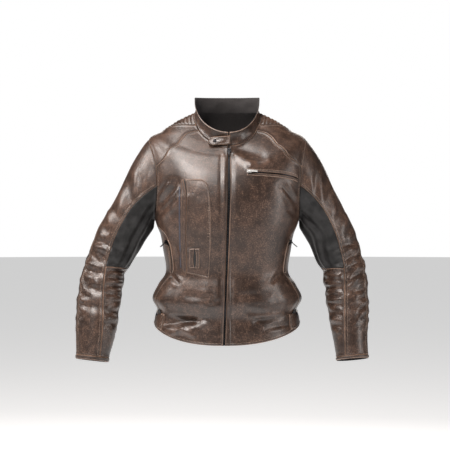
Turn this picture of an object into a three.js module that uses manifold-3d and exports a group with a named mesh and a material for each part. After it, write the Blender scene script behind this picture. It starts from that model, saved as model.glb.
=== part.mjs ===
// A leather riding jacket in its worn, hollow shape: two fronts with a centre zip, a back, shoulder yokes,
// ribbed stretch strips behind them, sleeves with a black stretch insert under the arm, a stand collar with
// a snap tab, a long chest pocket with a small welt, a zipped chest pocket, two zipped hand pockets in the
// side seams and two waist tabs. Each piece that a maker would cut is its own closed wall of cloth.
// Millimetres. +X is the wearer's left, -Y is the front, +Z is up. The origin is the centre of the neck, at
// the height where the jacket rests on the shoulders.
import * as THREE from "three";
import Module from "manifold-3d";
import { mergeVertices } from "three/addons/utils/BufferGeometryUtils.js";

const wasm = await Module();
wasm.setup();
const V = (x, y, z) => new THREE.Vector3(x, y, z);
const DEG = Math.PI / 180;

// ---- Driving dimensions ----
const WALL = 2; // leather wall
const SEAM_GAP = 0.3; // between two panels at a seam
const CLEARANCE = 1.6; // under a piece that lies on a panel
const ARMHOLE = { height: 222, depth: 150, top: -70 }; // oval, seen from the side
const CUFF_HEIGHT = 15;
const COLLAR_HEIGHT = 44;
const ZIP_OPENING = 6.4; // between the two front edges
const ZIP_TAPE = { width: 24, thick: 0.8 };

// Level rings of the body, from the hem up to the neck. z holds the ring's height at the side, the centre
// front and the centre back; half is its half width, with left added on the wearer's left; fore and aft are its depths; square is the exponent of
// its superellipse and turn says how its height passes from the side to the front and back.
const RINGS = [
  { z: [-585, -632, -618], half: 202, fore: 139, aft: 137, square: 2.3, turn: 1.5 }, // hem
  { z: [-563, -598, -586], half: 198, fore: 137, aft: 133, square: 2.3, turn: 1.5 },
  { z: [-541, -562, -552], half: 193, fore: 133, aft: 128, square: 2.3, turn: 1.6 }, // crease over the tabs
  { z: [-510, -520, -514], half: 207, fore: 141, aft: 138, square: 2.25, turn: 1.8 }, // blouse above the hem
  { z: [-472, -476, -474], half: 190, fore: 137, aft: 130, square: 2.25, turn: 2 },
  { z: [-437, -440, -438], half: 170, fore: 132, aft: 120, square: 2.3, turn: 2 }, // waist
  { z: [-375, -378, -376], half: 178, fore: 139, aft: 123, square: 2.35, turn: 2 },
  { z: [-335, -338, -336], half: 185, fore: 144, aft: 127, square: 2.4, turn: 2 },
  { z: [-298, -300, -298], half: 198, fore: 147, aft: 131, square: 2.4, turn: 2 }, // foot of the armhole
  { z: [-230, -234, -228], half: 206, left: 5, fore: 146, aft: 134, square: 2.45, turn: 2 },
  { z: [-150, -176, -146], half: 216, left: 9, fore: 134, aft: 130, square: 2.45, turn: 1.8 },
  { z: [-72, -134, -84], half: 218, left: 2, fore: 113, aft: 112, square: 2.35, turn: 1.7 }, // point of the shoulder
  { z: [-45, -117, -48], half: 178, fore: 100, aft: 97, square: 2.2, turn: 1.5 },
  { z: [-17, -105, -19], half: 136, fore: 90, aft: 82, square: 2.1, turn: 1.2 },
  { z: [4, -92, 10], half: 90, fore: 80, aft: 64, square: 2, turn: 0.9 }, // neck
];
const NECK = RINGS.length - 1;
const ARMPIT_LEVEL = 8;

// The sleeves: centre line, half width across and half depth from front to back, from the shoulder to the
// wrist. The wearer's right arm hangs a little wider than the left one.
const ARMS = {
  right: [
    [196, -2, -165, 67, 78],
    [239, 0, -235, 66, 72],
    [266, 2, -286, 64.5, 66],
    [293, 4, -328, 63.5, 62],
    [315, 4, -370, 63, 60],
    [334, 0, -413, 59, 58],
    [345, -8, -451, 60, 57],
    [353, -20, -500, 60.5, 55],
    [358, -36, -561, 58.5, 52],
    [364, -50, -618, 52, 46],
    [371, -60, -680, 43, 38],
  ],
  left: [
    [196, -2, -165, 67, 78],
    [239, 0, -236, 66, 72],
    [265, 2, -288, 65, 66],
    [290, 4, -332, 64, 62],
    [309, 4, -377, 63, 60],
    [324, 0, -420, 60, 58],
    [330, -8, -458, 61, 57],
    [335, -20, -512, 59, 54],
    [338, -36, -570, 54, 50],
    [341, -50, -628, 46, 44],
    [345, -60, -677, 42.5, 38],
  ],
};
const SLEEVE_JOIN = 2; // row of the centre line where the armhole's shape has turned into the sleeve's own
const SIDE = { right: -1, left: 1 };

// Largest folds of the fronts: [x0, z0, x1, z1, half width, height], ridges above 0 and troughs below.
const BODY_FOLDS = [
  [-182, -262, -142, -196, 13, -7],
  [-178, -290, -128, -236, 12, 4],
  [184, -262, 150, -205, 13, -5],
  [-172, -574, -96, -566, 13, -8],
  [-160, -594, -96, -590, 13, 6],
  [176, -580, 84, -566, 13, -5],
  [168, -560, 96, -548, 12, 4],
  [-146, -350, -132, -400, 10, -3],
];
// Largest folds of the sleeves: [turn from the outer side towards the front in degrees, height z, half
// length round the arm in degrees, half width, height].
const SLEEVE_FOLDS = [
  [60, -372, 70, 11, -5],
  [80, -412, 80, 11, -6],
  [95, -452, 85, 12, -5],
  [150, -430, 60, 12, -7],
  [150, -478, 60, 12, -6],
  [70, -500, 70, 12, -4],
  [130, -545, 70, 14, -5],
];

// ---- Small helpers ----
const mix = (a, b, f) => a + (b - a) * f;
const smooth = (f) => f * f * (3 - 2 * f);
const clamp = (v, lo, hi) => Math.min(hi, Math.max(lo, v));
const power = (v, p) => Math.sign(v) * Math.pow(Math.abs(v), p);
const steps = (n) => Array.from({ length: n + 1 }, (_, i) => i / n);

// Catmull-Rom through four values.
const cubic = (a, b, c, d, f) =>
  b + 0.5 * f * (c - a + f * (2 * a - 5 * b + 4 * c - d + f * (3 * (b - c) + d - a)));

// A value read along a list at the fractional place t.
function along(list, t, read) {
  const i = clamp(Math.floor(t), 0, list.length - 2);
  const at = (k) => read(list[clamp(k, 0, list.length - 1)]);
  return cubic(at(i - 1), at(i), at(i + 1), at(i + 2), t - i);
}

// Height of a set of folds at the point (u, v), each a soft ridge or trough along a line.
function foldHeight(folds, u, v) {
  let sum = 0;
  for (const [u0, v0, u1, v1, width, height] of folds) {
    const du = u1 - u0;
    const dv = v1 - v0;
    const f = clamp(((u - u0) * du + (v - v0) * dv) / (du * du + dv * dv), 0, 1);
    const away = Math.hypot(u - u0 - f * du, v - v0 - f * dv) / width;
    sum += height * Math.exp(-away * away);
  }
  return sum;
}

// ---- The body's form ----
// turn runs from 0 at the centre front, through 90 degrees at the side, to 180 at the centre back; level is
// the place along RINGS; side is -1 for the wearer's right.
function bare(side, turn, level) {
  const s = Math.sin(turn);
  const c = Math.cos(turn);
  const read = (get) => along(RINGS, level, get);
  const square = 2 / read((r) => r.square);
  const front = c > 0;
  const depth = read((r) => (front ? r.fore : r.aft));
  const sideZ = read((r) => r.z[0]);
  const endZ = read((r) => r.z[front ? 1 : 2]);
  const z = mix(sideZ, endZ, Math.pow(Math.abs(c), read((r) => r.turn)));
  const lean = front ? c * c * mix(-8, 5, clamp((z + 632) / 400, 0, 1)) : 0; // the zip leans a little
  const half = read((r) => r.half) + (side > 0 ? read((r) => r.left ?? 0) : 0);
  return V(side * half * Math.pow(Math.max(s, 0), square) + lean, -depth * power(c, square), z);
}

function outwards(side, turn, level) {
  const e = 1e-3;
  const across = bare(side, turn + e, level).sub(bare(side, turn - e, level));
  const up = bare(side, turn, Math.min(level + e, NECK)).sub(bare(side, turn, Math.max(level - e, 0)));
  return across.cross(up).multiplyScalar(side).normalize();
}

function body(side, turn, level) {
  const p = bare(side, turn, level);
  if (Math.cos(turn) <= 0) return p;
  return p.addScaledVector(outwards(side, turn, level), foldHeight(BODY_FOLDS, p.x, p.z) * Math.cos(turn));
}

// The level at which the body has the height z at this turn.
function levelOf(side, turn, z) {
  let [lo, hi] = [0, NECK];
  for (let i = 0; i < 40; i++) {
    const mid = (lo + hi) / 2;
    if (bare(side, turn, mid).z < z) lo = mid;
    else hi = mid;
  }
  return (lo + hi) / 2;
}

// [turn, level] of the body's point whose measure (x from the front, y from the side) is value, at height z.
function locate(side, axis, value, z, lo, hi) {
  for (let i = 0; i < 40; i++) {
    const mid = (lo + hi) / 2;
    const p = bare(side, mid, levelOf(side, mid, z));
    if ((axis === "x" ? p.x * side : p.y) < value) lo = mid;
    else hi = mid;
  }
  const turn = (lo + hi) / 2;
  return [turn, levelOf(side, turn, z)];
}
const onFront = (side, x, z) => locate(side, "x", x * side, z, 0, 90 * DEG);
const onSide = (side, y, z) => locate(side, "y", y, z, 15 * DEG, 165 * DEG);

// ---- One welded net of quads for the whole jacket; each quad belongs to a panel ----
const net = { points: [], ids: new Map(), panels: new Map(), sum: [] };

function vertex(p) {
  const key = [p.x, p.y, p.z].map((v) => Math.round(v * 50)).join();
  if (!net.ids.has(key)) {
    net.ids.set(key, net.points.length);
    net.points.push(p.clone());
    net.sum.push(V(0, 0, 0));
  }
  return net.ids.get(key);
}

// Adds a grid of rows of points to a panel. Rows run upwards and points anticlockwise seen from outside,
// unless flip is set.
function addGrid(panel, rows, flip) {
  if (!net.panels.has(panel)) net.panels.set(panel, []);
  const ids = rows.map((row) => row.map(vertex));
  for (let j = 0; j + 1 < rows.length; j++)
    for (let i = 0; i + 1 < rows[j].length; i++) {
      const quad = [ids[j][i], ids[j][i + 1], ids[j + 1][i + 1], ids[j + 1][i]];
      net.panels.get(panel).push(flip ? quad.reverse() : quad);
    }
}

const faceNormal = (quad) => {
  const [a, b, c, d] = quad.map((i) => net.points[i]);
  return c.clone().sub(a).cross(d.clone().sub(b));
};

// Fills a four-sided patch of [turn, level] pairs from its sides (bottom and top from left to right, left
// and right upwards).
function coons(bottom, top, left, right) {
  const n = bottom.length - 1;
  const m = left.length - 1;
  return left.map((_, j) =>
    bottom.map((_, i) => {
      const u = i / n;
      const v = j / m;
      return [0, 1].map(
        (k) =>
          mix(bottom[i][k], top[i][k], v) +
          mix(left[j][k], right[j][k], u) -
          mix(mix(bottom[0][k], bottom[n][k], u), mix(top[0][k], top[n][k], u), v),
      );
    }),
  );
}
const between = (a, b, n, ease = (f) => f) => steps(n).map((f) => [mix(a[0], b[0], ease(f)), mix(a[1], b[1], f)]);

// ---- Body panels of one side ----
const COLUMNS = { front: 7, seam: 2, under: 5, back: 6, yoke: 5, rib: 3 };
const ROWS = { lower: 14, armhole: 5, shoulder: 5 };
// Places round the armhole's oval, in degrees: 0 is its front, 90 its top.
const ARMHOLE_CORNERS = { frontLow: -49, yoke: 16, ribFront: 107, ribBack: 140, backLow: 229 };
const NECK_CORNERS = { yoke: 60, ribFront: 71, ribBack: 116 };
const HEM_CORNERS = { front: 44, back: 128 };
// Turn of the side seam at the levels 0 to 7.
const SIDE_SEAM = { right: [68, 68, 69, 70, 66, 60, 58, 63], left: [68, 68, 69, 71, 69, 66, 65, 69] };

function armholePoint(side, degrees) {
  const half = ARMHOLE.height / 2;
  const y = (-ARMHOLE.depth / 2) * Math.cos(degrees * DEG);
  const z = ARMHOLE.top - half + half * Math.sin(degrees * DEG);
  return onSide(side, y, z);
}

function bodyPanels(name) {
  const side = SIDE[name];
  const flip = side < 0;
  const arc = (from, to, n) => steps(n).map((f) => armholePoint(side, mix(from, to, f)));
  const c = ARMHOLE_CORNERS;
  const frontEdge = arc(c.frontLow, c.yoke, ROWS.armhole);
  const yokeTop = arc(c.yoke, c.ribFront, COLUMNS.yoke);
  const ribTop = arc(c.ribFront, c.ribBack, COLUMNS.rib);
  const backEdge = arc(c.ribBack, c.backLow, ROWS.armhole);
  const foot = arc(c.backLow, c.frontLow + 360, COLUMNS.under + COLUMNS.seam).reverse();
  const neck = (degrees) => [degrees * DEG, NECK];
  const cf = (level) => [Math.asin(Math.pow(ZIP_OPENING / 2 / along(RINGS, level, (r) => r.half), 1.15)), level];

  // Seams over the shoulder.
  const yokeLine = [
    [167, -119], [140, -89], [120, -64], [102, -53],
  ].map(([x, z]) => onFront(side, side * x, z));
  const yokeNodes = [frontEdge.at(-1), ...yokeLine, neck(NECK_CORNERS.yoke)];
  const yokeSeam = steps(ROWS.shoulder).map((f) =>
    [0, 1].map((k) => along(yokeNodes, f * (yokeNodes.length - 1), (p) => p[k])),
  );
  const ribSeam = between(ribTop[0], neck(NECK_CORNERS.ribFront), ROWS.shoulder, smooth);
  const backSeam = between(ribTop.at(-1), neck(NECK_CORNERS.ribBack), ROWS.shoulder);

  // Columns below the armhole.
  const lower = steps(ROWS.lower);
  const seamTop = foot[COLUMNS.seam];
  const column = (hemDegrees, top, bend) =>
    lower.map((f) => [mix(hemDegrees * DEG, top[0], Math.pow(f, bend)), f * top[1]]);
  const cfLow = lower.map((f) => cf(f * ARMPIT_LEVEL));
  const frontColumn = column(HEM_CORNERS.front, frontEdge[0], 3);
  const seamTurns = [...SIDE_SEAM[name].map((t) => t * DEG), seamTop[0]];
  const sideSeam = lower.map((f) => [along(seamTurns, f * (seamTurns.length - 1), (t) => t), f * seamTop[1]]);
  const backColumn = column(HEM_CORNERS.back, foot.at(-1), 3);
  const cbLow = lower.map((f) => [180 * DEG, f * ARMPIT_LEVEL]);
  const hem = (a, b, n) => between([a[0][0], 0], [b[0][0], 0], n);
  const level = (a, b, n) => between(a, b, n);

  const place = (pairs) => pairs.map((row) => row.map(([turn, t]) => body(side, turn, t)));
  const add = (panel, bottom, top, left, right) => addGrid(panel, place(coons(bottom, top, left, right)), flip);
  const front = "front_" + name;
  add(front, hem(cfLow, frontColumn, COLUMNS.front), level(cfLow.at(-1), frontEdge[0], COLUMNS.front), cfLow, frontColumn);
  add(front, hem(frontColumn, sideSeam, COLUMNS.seam), foot.slice(0, COLUMNS.seam + 1), frontColumn, sideSeam);
  add("back", hem(sideSeam, backColumn, COLUMNS.under), foot.slice(COLUMNS.seam), sideSeam, backColumn);
  add("back", hem(backColumn, cbLow, COLUMNS.back), level(foot.at(-1), cbLow.at(-1), COLUMNS.back), backColumn, cbLow);

  const upper = steps(ROWS.armhole + ROWS.shoulder).map((f) => mix(ARMPIT_LEVEL, NECK, f));
  const cfHigh = upper.map(cf);
  const cbHigh = upper.map((t) => [180 * DEG, t]);
  const yokeSide = [...frontEdge, ...yokeSeam.slice(1)];
  const backSide = [...backEdge.slice().reverse(), ...backSeam.slice(1)];
  add(front, level(cfLow.at(-1), frontEdge[0], COLUMNS.front), level(cfHigh.at(-1), yokeSeam.at(-1), COLUMNS.front), cfHigh, yokeSide);
  add("back", level(foot.at(-1), cbLow.at(-1), COLUMNS.back), level(backSeam.at(-1), cbHigh.at(-1), COLUMNS.back), backSide, cbHigh);
  add("yoke_" + name, yokeTop, level(yokeSeam.at(-1), ribSeam.at(-1), COLUMNS.yoke), yokeSeam, ribSeam);
  add("rib_" + name, ribTop, level(ribSeam.at(-1), backSeam.at(-1), COLUMNS.rib), ribSeam, backSeam);

  // The armhole's points in order, from the front up over the shoulder, down the back and under the arm.
  const ring = [...frontEdge, ...yokeTop.slice(1), ...ribTop.slice(1), ...backEdge.slice(1), ...foot.slice().reverse().slice(1)];
  const neckRow = [
    ...level(cfHigh.at(-1), yokeSeam.at(-1), COLUMNS.front),
    ...level(yokeSeam.at(-1), ribSeam.at(-1), COLUMNS.yoke).slice(1),
    ...level(ribSeam.at(-1), backSeam.at(-1), COLUMNS.rib).slice(1),
    ...level(backSeam.at(-1), cbHigh.at(-1), COLUMNS.back).slice(1),
  ];
  return {
    armhole: ring.slice(0, -1).map(([turn, t]) => body(side, turn, t)),
    neck: neckRow.map(([turn, t]) => body(side, turn, t)),
    rib: coons(ribTop, level(ribSeam.at(-1), backSeam.at(-1), COLUMNS.rib), ribSeam, backSeam),
  };
}

// ---- Sleeves ----
const SLEEVE = {
  insertFront: 3, // place in the armhole's ring where the stretch insert's front edge starts
  top: 7, // columns of the top sleeve, the rear panel and the insert
  rear: 9,
  insert: 9,
  capRows: 5,
  tubeRows: 11,
  insertEnd: 10, // row where the insert ends at its front edge
  insertSlant: 0.95, // how far its lower edge climbs under the arm, in places of the centre line
};

// Turn round the arm (0 outer side, 90 front, 180 inner side) of the three long seams, at f from 0 at the
// shoulder to 1 at the cuff.
const frontSeamTurn = (f) => mix(76, 122, Math.pow(f, 1.6));
const outerSeamTurn = (f) => mix(-16, 26, smooth(clamp(f * 1.5, 0, 1)));
const insertBackTurn = (f) => mix(206, 200, f) - 360;

function armAt(name, w) {
  const list = ARMS[name];
  const read = (k) => along(list, w, (p) => p[k]);
  return { centre: V(SIDE[name] * read(0), read(1), read(2)), across: read(3), deep: read(4) };
}

// How the sleeve leaves the armhole: outwards under the arm, down the arm elsewhere.
const leaveOut = (turn) => mix(0.32, 1.25, smooth((1 - Math.cos(turn * DEG)) / 2));
const leaveDown = (turn) => mix(1, 0.12, smooth((1 - Math.cos(turn * DEG)) / 2));

// A point of the sleeve's own tube at the place w of its centre line, with its fold height.
function tube(name, w, turn, swell = 0) {
  const { centre, across, deep } = armAt(name, w);
  const run = armAt(name, w + 0.02).centre.sub(armAt(name, w - 0.02).centre).normalize();
  const outer = run.clone().cross(V(0, 1, 0)).multiplyScalar(SIDE[name]).normalize();
  const front = outer.clone().cross(run).multiplyScalar(SIDE[name]).normalize();
  if (front.y > 0) front.negate();
  let fold = 0;
  for (const [at, z, half, width, height] of SLEEVE_FOLDS) {
    const away = Math.hypot((((turn - at + 540) % 360) - 180) / half, (centre.z - z) / width);
    fold += height * Math.exp(-away * away);
  }
  return centre
    .addScaledVector(outer, (across + swell + fold) * Math.cos(turn * DEG))
    .addScaledVector(front, (deep + swell + fold) * Math.sin(turn * DEG));
}

function sleevePanels(name, armhole) {
  const side = SIDE[name];
  const { top, rear, insert, capRows, tubeRows } = SLEEVE;
  const count = top + rear + insert;
  const start = armhole.slice(SLEEVE.insertFront).concat(armhole.slice(0, SLEEVE.insertFront));
  const last = ARMS[name].length - 1;
  const cuffPlace = last - CUFF_HEIGHT / 60;
  const turnOf = (k, f) => {
    const [a, b, c] = [frontSeamTurn(f), outerSeamTurn(f), insertBackTurn(f)];
    if (k <= top) return mix(a, b, k / top);
    if (k <= top + rear) return mix(b, c, (k - top) / rear);
    return mix(c, a - 360, (k - top - rear) / insert);
  };
  // The insert's lower edge climbs from its front corner to the inner side of the arm.
  const climb = (k, row) => {
    const u = k > top + rear ? (count - k) / insert : smooth(clamp((k - top) / rear, 0, 1));
    return -SLEEVE.insertSlant * u * Math.exp(-Math.pow((row - SLEEVE.insertEnd) / 2.6, 2));
  };
  const rows = [];
  for (let row = 0; row <= capRows + tubeRows; row++) {
    const v = row / capRows;
    rows.push(
      steps(count).map((_, k) => {
        if (row === 0) return start[k % count].clone();
        if (v >= 1) {
          const w = mix(SLEEVE_JOIN, cuffPlace, (row - capRows) / tubeRows);
          return tube(name, w + climb(k, row), turnOf(k, w / last));
        }
        // A curve from the armhole, leaving it along the shoulder or the arm, into the tube.
        const turn = turnOf(k, (SLEEVE_JOIN * v) / last);
        const end = tube(name, SLEEVE_JOIN, turnOf(k, SLEEVE_JOIN / last));
        const from = start[k % count];
        const reach = end.distanceTo(from);
        const run = armAt(name, SLEEVE_JOIN + 0.1).centre.sub(armAt(name, SLEEVE_JOIN - 0.1).centre).normalize();
        const leave = V(side * leaveOut(turn), 0, 0).addScaledVector(run, leaveDown(turn)).normalize();
        const [v2, v3] = [v * v, v * v * v];
        return V(0, 0, 0)
          .addScaledVector(from, 2 * v3 - 3 * v2 + 1)
          .addScaledVector(leave, reach * (v3 - 2 * v2 + v))
          .addScaledVector(end, 3 * v2 - 2 * v3)
          .addScaledVector(run, reach * (v3 - v2));
      }),
    );
  }
  const cut = (panel, k0, k1, r0, r1) =>
    addGrid(panel, rows.slice(r0, r1 + 1).map((row) => row.slice(k0, k1 + 1)), side > 0);
  const bottom = rows.length - 1;
  cut("sleeve_top_" + name, 0, top, 0, bottom);
  cut("sleeve_rear_" + name, top, top + rear, 0, bottom);
  cut("sleeve_rear_" + name, top + rear, count, SLEEVE.insertEnd, bottom);
  cut("insert_" + name, top + rear, count, 0, SLEEVE.insertEnd);
  const cuff = steps(2).map((f) => {
    const w = mix(cuffPlace, last, f);
    return steps(count).map((_, k) => (f ? tube(name, w, turnOf(k, w / last), 1) : rows[bottom][k]));
  });
  addGrid("cuff_" + name, cuff, side > 0);
}

// ---- Collar ----
function collarPanel(necks) {
  const ring = [...necks.right, ...necks.left.slice().reverse().slice(1)];
  const rows = steps(3).map((f) =>
    ring.map((p) => {
      const rise = COLLAR_HEIGHT * f;
      const pull = 1 - 0.05 * Math.sin(f * Math.PI);
      return f ? V(p.x * pull, p.y * pull - 4 * f, p.z + rise * mix(1, 0.86, clamp(-p.y / 78, 0, 1))) : p;
    }),
  );
  addGrid("collar", rows, true);
}

// ---- Walls: a panel's quads, moved out and in from the middle of the cloth, with their edges closed ----
function closedMesh(points, triangles) {
  const volume = triangles.reduce((sum, [a, b, c]) => sum + points[a].dot(points[b].clone().cross(points[c])), 0);
  if (volume < 0) triangles.forEach((t) => t.reverse());
  const geometry = new THREE.BufferGeometry();
  geometry.setAttribute("position", new THREE.Float32BufferAttribute(points.flatMap((p) => p.toArray()), 3));
  geometry.setIndex(triangles.flat());
  return geometry;
}

function wall(quads, normals, thick, lift = 0, gap = SEAM_GAP) {
  const used = [...new Set(quads.flat())];
  const at = new Map(used.map((id, i) => [id, i]));
  const edges = new Map();
  for (const quad of quads)
    quad.forEach((a, i) => {
      const b = quad[(i + 1) % 4];
      if (edges.has(b + "," + a)) edges.delete(b + "," + a);
      else edges.set(a + "," + b, [a, b]);
    });
  const rim = new Map();
  for (const [a, b] of edges.values()) {
    const run = net.points[b].clone().sub(net.points[a]).normalize();
    for (const id of [a, b]) {
      const inwards = normals[id].clone().cross(run).normalize();
      rim.set(id, [...(rim.get(id) ?? []), inwards]);
    }
  }
  const own = new Map(used.map((id) => [id, V(0, 0, 0)]));
  for (const quad of quads) {
    const normal = faceNormal(quad);
    for (const id of quad) own.get(id).add(normal);
  }
  const sides = [lift + thick / 2, lift - thick / 2].map((height) =>
    used.map((id) => {
      const shared = normals[id];
      const p = net.points[id].clone();
      if (rim.has(id)) {
        const inwards = rim.get(id).reduce((sum, v) => sum.add(v), V(0, 0, 0)).normalize();
        p.addScaledVector(inwards, gap / 2 / Math.max(0.5, inwards.dot(rim.get(id)[0])));
      }
      return p.addScaledVector(shared, height / Math.max(0.6, shared.dot(own.get(id).normalize())));
    }),
  );
  const n = used.length;
  const triangles = [];
  for (const quad of quads) {
    const [a, b, c, d] = quad.map((id) => at.get(id));
    triangles.push([a, b, c], [a, c, d], [a + n, c + n, b + n], [a + n, d + n, c + n]);
  }
  for (const [a, b] of edges.values()) {
    const [i, j] = [at.get(a), at.get(b)];
    // Both panels at a seam split their edge faces along the same diagonal.
    if (a < b) triangles.push([i, i + n, j + n], [i, j + n, j]);
    else triangles.push([i, i + n, j], [i + n, j + n, j]);
  }
  return closedMesh([...sides[0], ...sides[1]], triangles);
}

// A wall over a free grid of points with their normals.
function strip(rows, thick, lift) {
  const m = rows.length;
  const n = rows[0].length;
  const points = [lift + thick, lift].flatMap((height) =>
    rows.flatMap((row) => row.map(({ point, normal }) => point.clone().addScaledVector(normal, height))),
  );
  const id = (j, i, k) => k * m * n + j * n + i;
  const triangles = [];
  for (let j = 0; j + 1 < m; j++)
    for (let i = 0; i + 1 < n; i++) {
      const q = [id(j, i, 0), id(j, i + 1, 0), id(j + 1, i + 1, 0), id(j + 1, i, 0)];
      const r = q.map((v) => v + m * n);
      triangles.push([q[0], q[1], q[2]], [q[0], q[2], q[3]], [r[0], r[2], r[1]], [r[0], r[3], r[2]]);
    }
  const rim = [
    ...Array.from({ length: n - 1 }, (_, i) => [[0, i], [0, i + 1]]),
    ...Array.from({ length: m - 1 }, (_, j) => [[j, n - 1], [j + 1, n - 1]]),
    ...Array.from({ length: n - 1 }, (_, i) => [[m - 1, n - 1 - i], [m - 1, n - 2 - i]]),
    ...Array.from({ length: m - 1 }, (_, j) => [[m - 1 - j, 0], [m - 2 - j, 0]]),
  ];
  for (const [[j0, i0], [j1, i1]] of rim) {
    const [a, b] = [id(j0, i0, 0), id(j1, i1, 0)];
    triangles.push([a, a + m * n, b + m * n], [a, b + m * n, b]);
  }
  return closedMesh(points, triangles);
}

// ---- Build ----
const jacket = new THREE.Group();
const leather = new THREE.MeshStandardMaterial({ color: 0x4a3a33, roughness: 0.45, metalness: 0 });
const worn = new THREE.MeshStandardMaterial({ color: 0x5a473d, roughness: 0.5, metalness: 0 });
const stretch = new THREE.MeshStandardMaterial({ color: 0x1b1b1d, roughness: 0.85, metalness: 0 });
const tape = new THREE.MeshStandardMaterial({ color: 0x0d0d0e, roughness: 0.7, metalness: 0 });
const blackened = new THREE.MeshStandardMaterial({ color: 0x1f1f21, roughness: 0.4, metalness: 0.8 });
const silver = new THREE.MeshStandardMaterial({ color: 0xb4b4b0, roughness: 0.3, metalness: 0.95 });

function piece(name, geometry, material) {
  const mesh = new THREE.Mesh(geometry, material);
  mesh.name = name;
  jacket.add(mesh);
  return mesh;
}

const halves = { right: bodyPanels("right"), left: bodyPanels("left") };
for (const name of Object.keys(SIDE)) sleevePanels(name, halves[name].armhole);
collarPanel({ right: halves.right.neck, left: halves.left.neck });

for (const quads of net.panels.values())
  for (const quad of quads) {
    const normal = faceNormal(quad);
    quad.forEach((id) => net.sum[id].add(normal));
  }
const normals = net.sum.map((v) => v.clone().normalize());
const MATERIAL_OF = { insert: stretch, rib: worn, yoke: worn };
for (const [name, quads] of net.panels)
  piece(name, wall(quads, normals, WALL), MATERIAL_OF[name.split("_")[0]] ?? leather);

// A point of the front with its outward normal, for pieces that lie on it.
function frontSpot(side, x, z) {
  const [turn, level] = onFront(side, x, z);
  return spot(side, turn, level);
}
function spot(side, turn, level) {
  const e = 2e-3;
  const across = body(side, turn + e, level).sub(body(side, turn - e, level));
  const up = body(side, turn, Math.min(level + e, NECK)).sub(body(side, turn, Math.max(level - e, 0)));
  return { point: body(side, turn, level), normal: across.cross(up).multiplyScalar(side).normalize() };
}
const ON_TOP = WALL / 2 + CLEARANCE;

// Main zip: its tape lies behind the two front edges.
const zipLevels = [...steps(ROWS.lower).map((f) => f * ARMPIT_LEVEL), ...steps(10).slice(1).map((f) => mix(ARMPIT_LEVEL, NECK, f))];
function zipAcross(level, x) {
  const half = along(RINGS, level, (r) => r.half);
  const turn = Math.asin(Math.pow(Math.abs(x) / half, 1.15));
  return spot(x < 0 ? -1 : 1, turn, level);
}
piece(
  "main_zip_tape",
  strip(
    zipLevels.map((level) => [-ZIP_TAPE.width / 2, -ZIP_OPENING / 2, ZIP_OPENING / 2, ZIP_TAPE.width / 2].map((x) => zipAcross(level, x))),
    ZIP_TAPE.thick,
    -WALL / 2 - 0.6 - ZIP_TAPE.thick,
  ),
  tape,
);


// ---- Pieces that lie on the panels ----
// A strip on the front from a grid of [x, z].
function onFrontPanel(grid, thick, lift) {
  return strip(grid.map((row) => row.map(([x, z]) => frontSpot(x < 0 ? -1 : 1, x, z))), thick, lift);
}
// A grid of [x, z] filled between four sides, read as splines through their nodes.
function frontPatch(bottom, top, left, right, columns, rows) {
  const read = (list, n) => steps(n).map((f) => [0, 1].map((k) => along(list, f * (list.length - 1), (p) => p[k])));
  return coons(read(bottom, columns), read(top, columns), read(left, rows), read(right, rows));
}

// Long chest pocket on the wearer's right, with the zip down its outer edge and a small welt near its foot.
const POCKET = 1.3;
piece(
  "long_pocket",
  onFrontPanel(
    frontPatch(
      [[-118, -436], [-50, -452]],
      [[-122, -186], [-100, -185.5], [-81, -185], [-66, -187], [-55, -195], [-49, -211], [-46, -233]],
      [[-118, -436], [-123, -310], [-122, -186]],
      [[-50, -452], [-43, -345], [-46, -233]],
      6,
      12,
    ),
    POCKET,
    ON_TOP,
  ),
  worn,
);
piece(
  "long_pocket_zip",
  onFrontPanel(steps(9).map((f) => [-129.5, -125.5].map((x) => [x + 2 * Math.pow(1 - f, 3), mix(-424, -250, f)])), 1.2, ON_TOP),
  tape,
);
const WELT = { x: -86, low: -424, high: -371 };
const weltRows = (from, to) =>
  steps(5).map((f) => {
    const open = Math.sin(f * Math.PI);
    return [0, 0.5, 1].map((u) => [WELT.x + mix(from(open), to(open), u), mix(WELT.low, WELT.high, f)]);
  });
const onPocket = ON_TOP + POCKET;
piece("welt_lining", onFrontPanel(weltRows(() => -6, () => 6), 0.5, onPocket + 0.5), tape);
piece("welt_lip_outer", onFrontPanel(weltRows(() => -14, (open) => -1 - 2.2 * open), 1.2, onPocket + CLEARANCE), leather);
piece("welt_lip_inner", onFrontPanel(weltRows((open) => 1 + 2.2 * open, () => 13), 1.2, onPocket + CLEARANCE), leather);

// Chest zip on the wearer's left: a tape with a narrow welt above and below it.
const chestLine = (f) => [mix(54, 191, f), -166 - 7 * f - 9 * Math.pow(f, 6)];
const chestBand = (low, high, n) => {
  const rows = [low, (low + high) / 2, high];
  return rows.map((rise) => steps(n).map((f) => [chestLine(f)[0], chestLine(f)[1] + rise]));
};
piece("chest_zip_tape", onFrontPanel(chestBand(-4.4, 4.4, 10), 0.8, ON_TOP), tape);
piece("chest_zip_welt_lower", onFrontPanel(chestBand(-10, -2.6, 10), 1.2, ON_TOP + 1.5), leather);
piece("chest_zip_welt_upper", onFrontPanel(chestBand(2.6, 10, 10), 1.2, ON_TOP + 1.5), leather);

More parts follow.
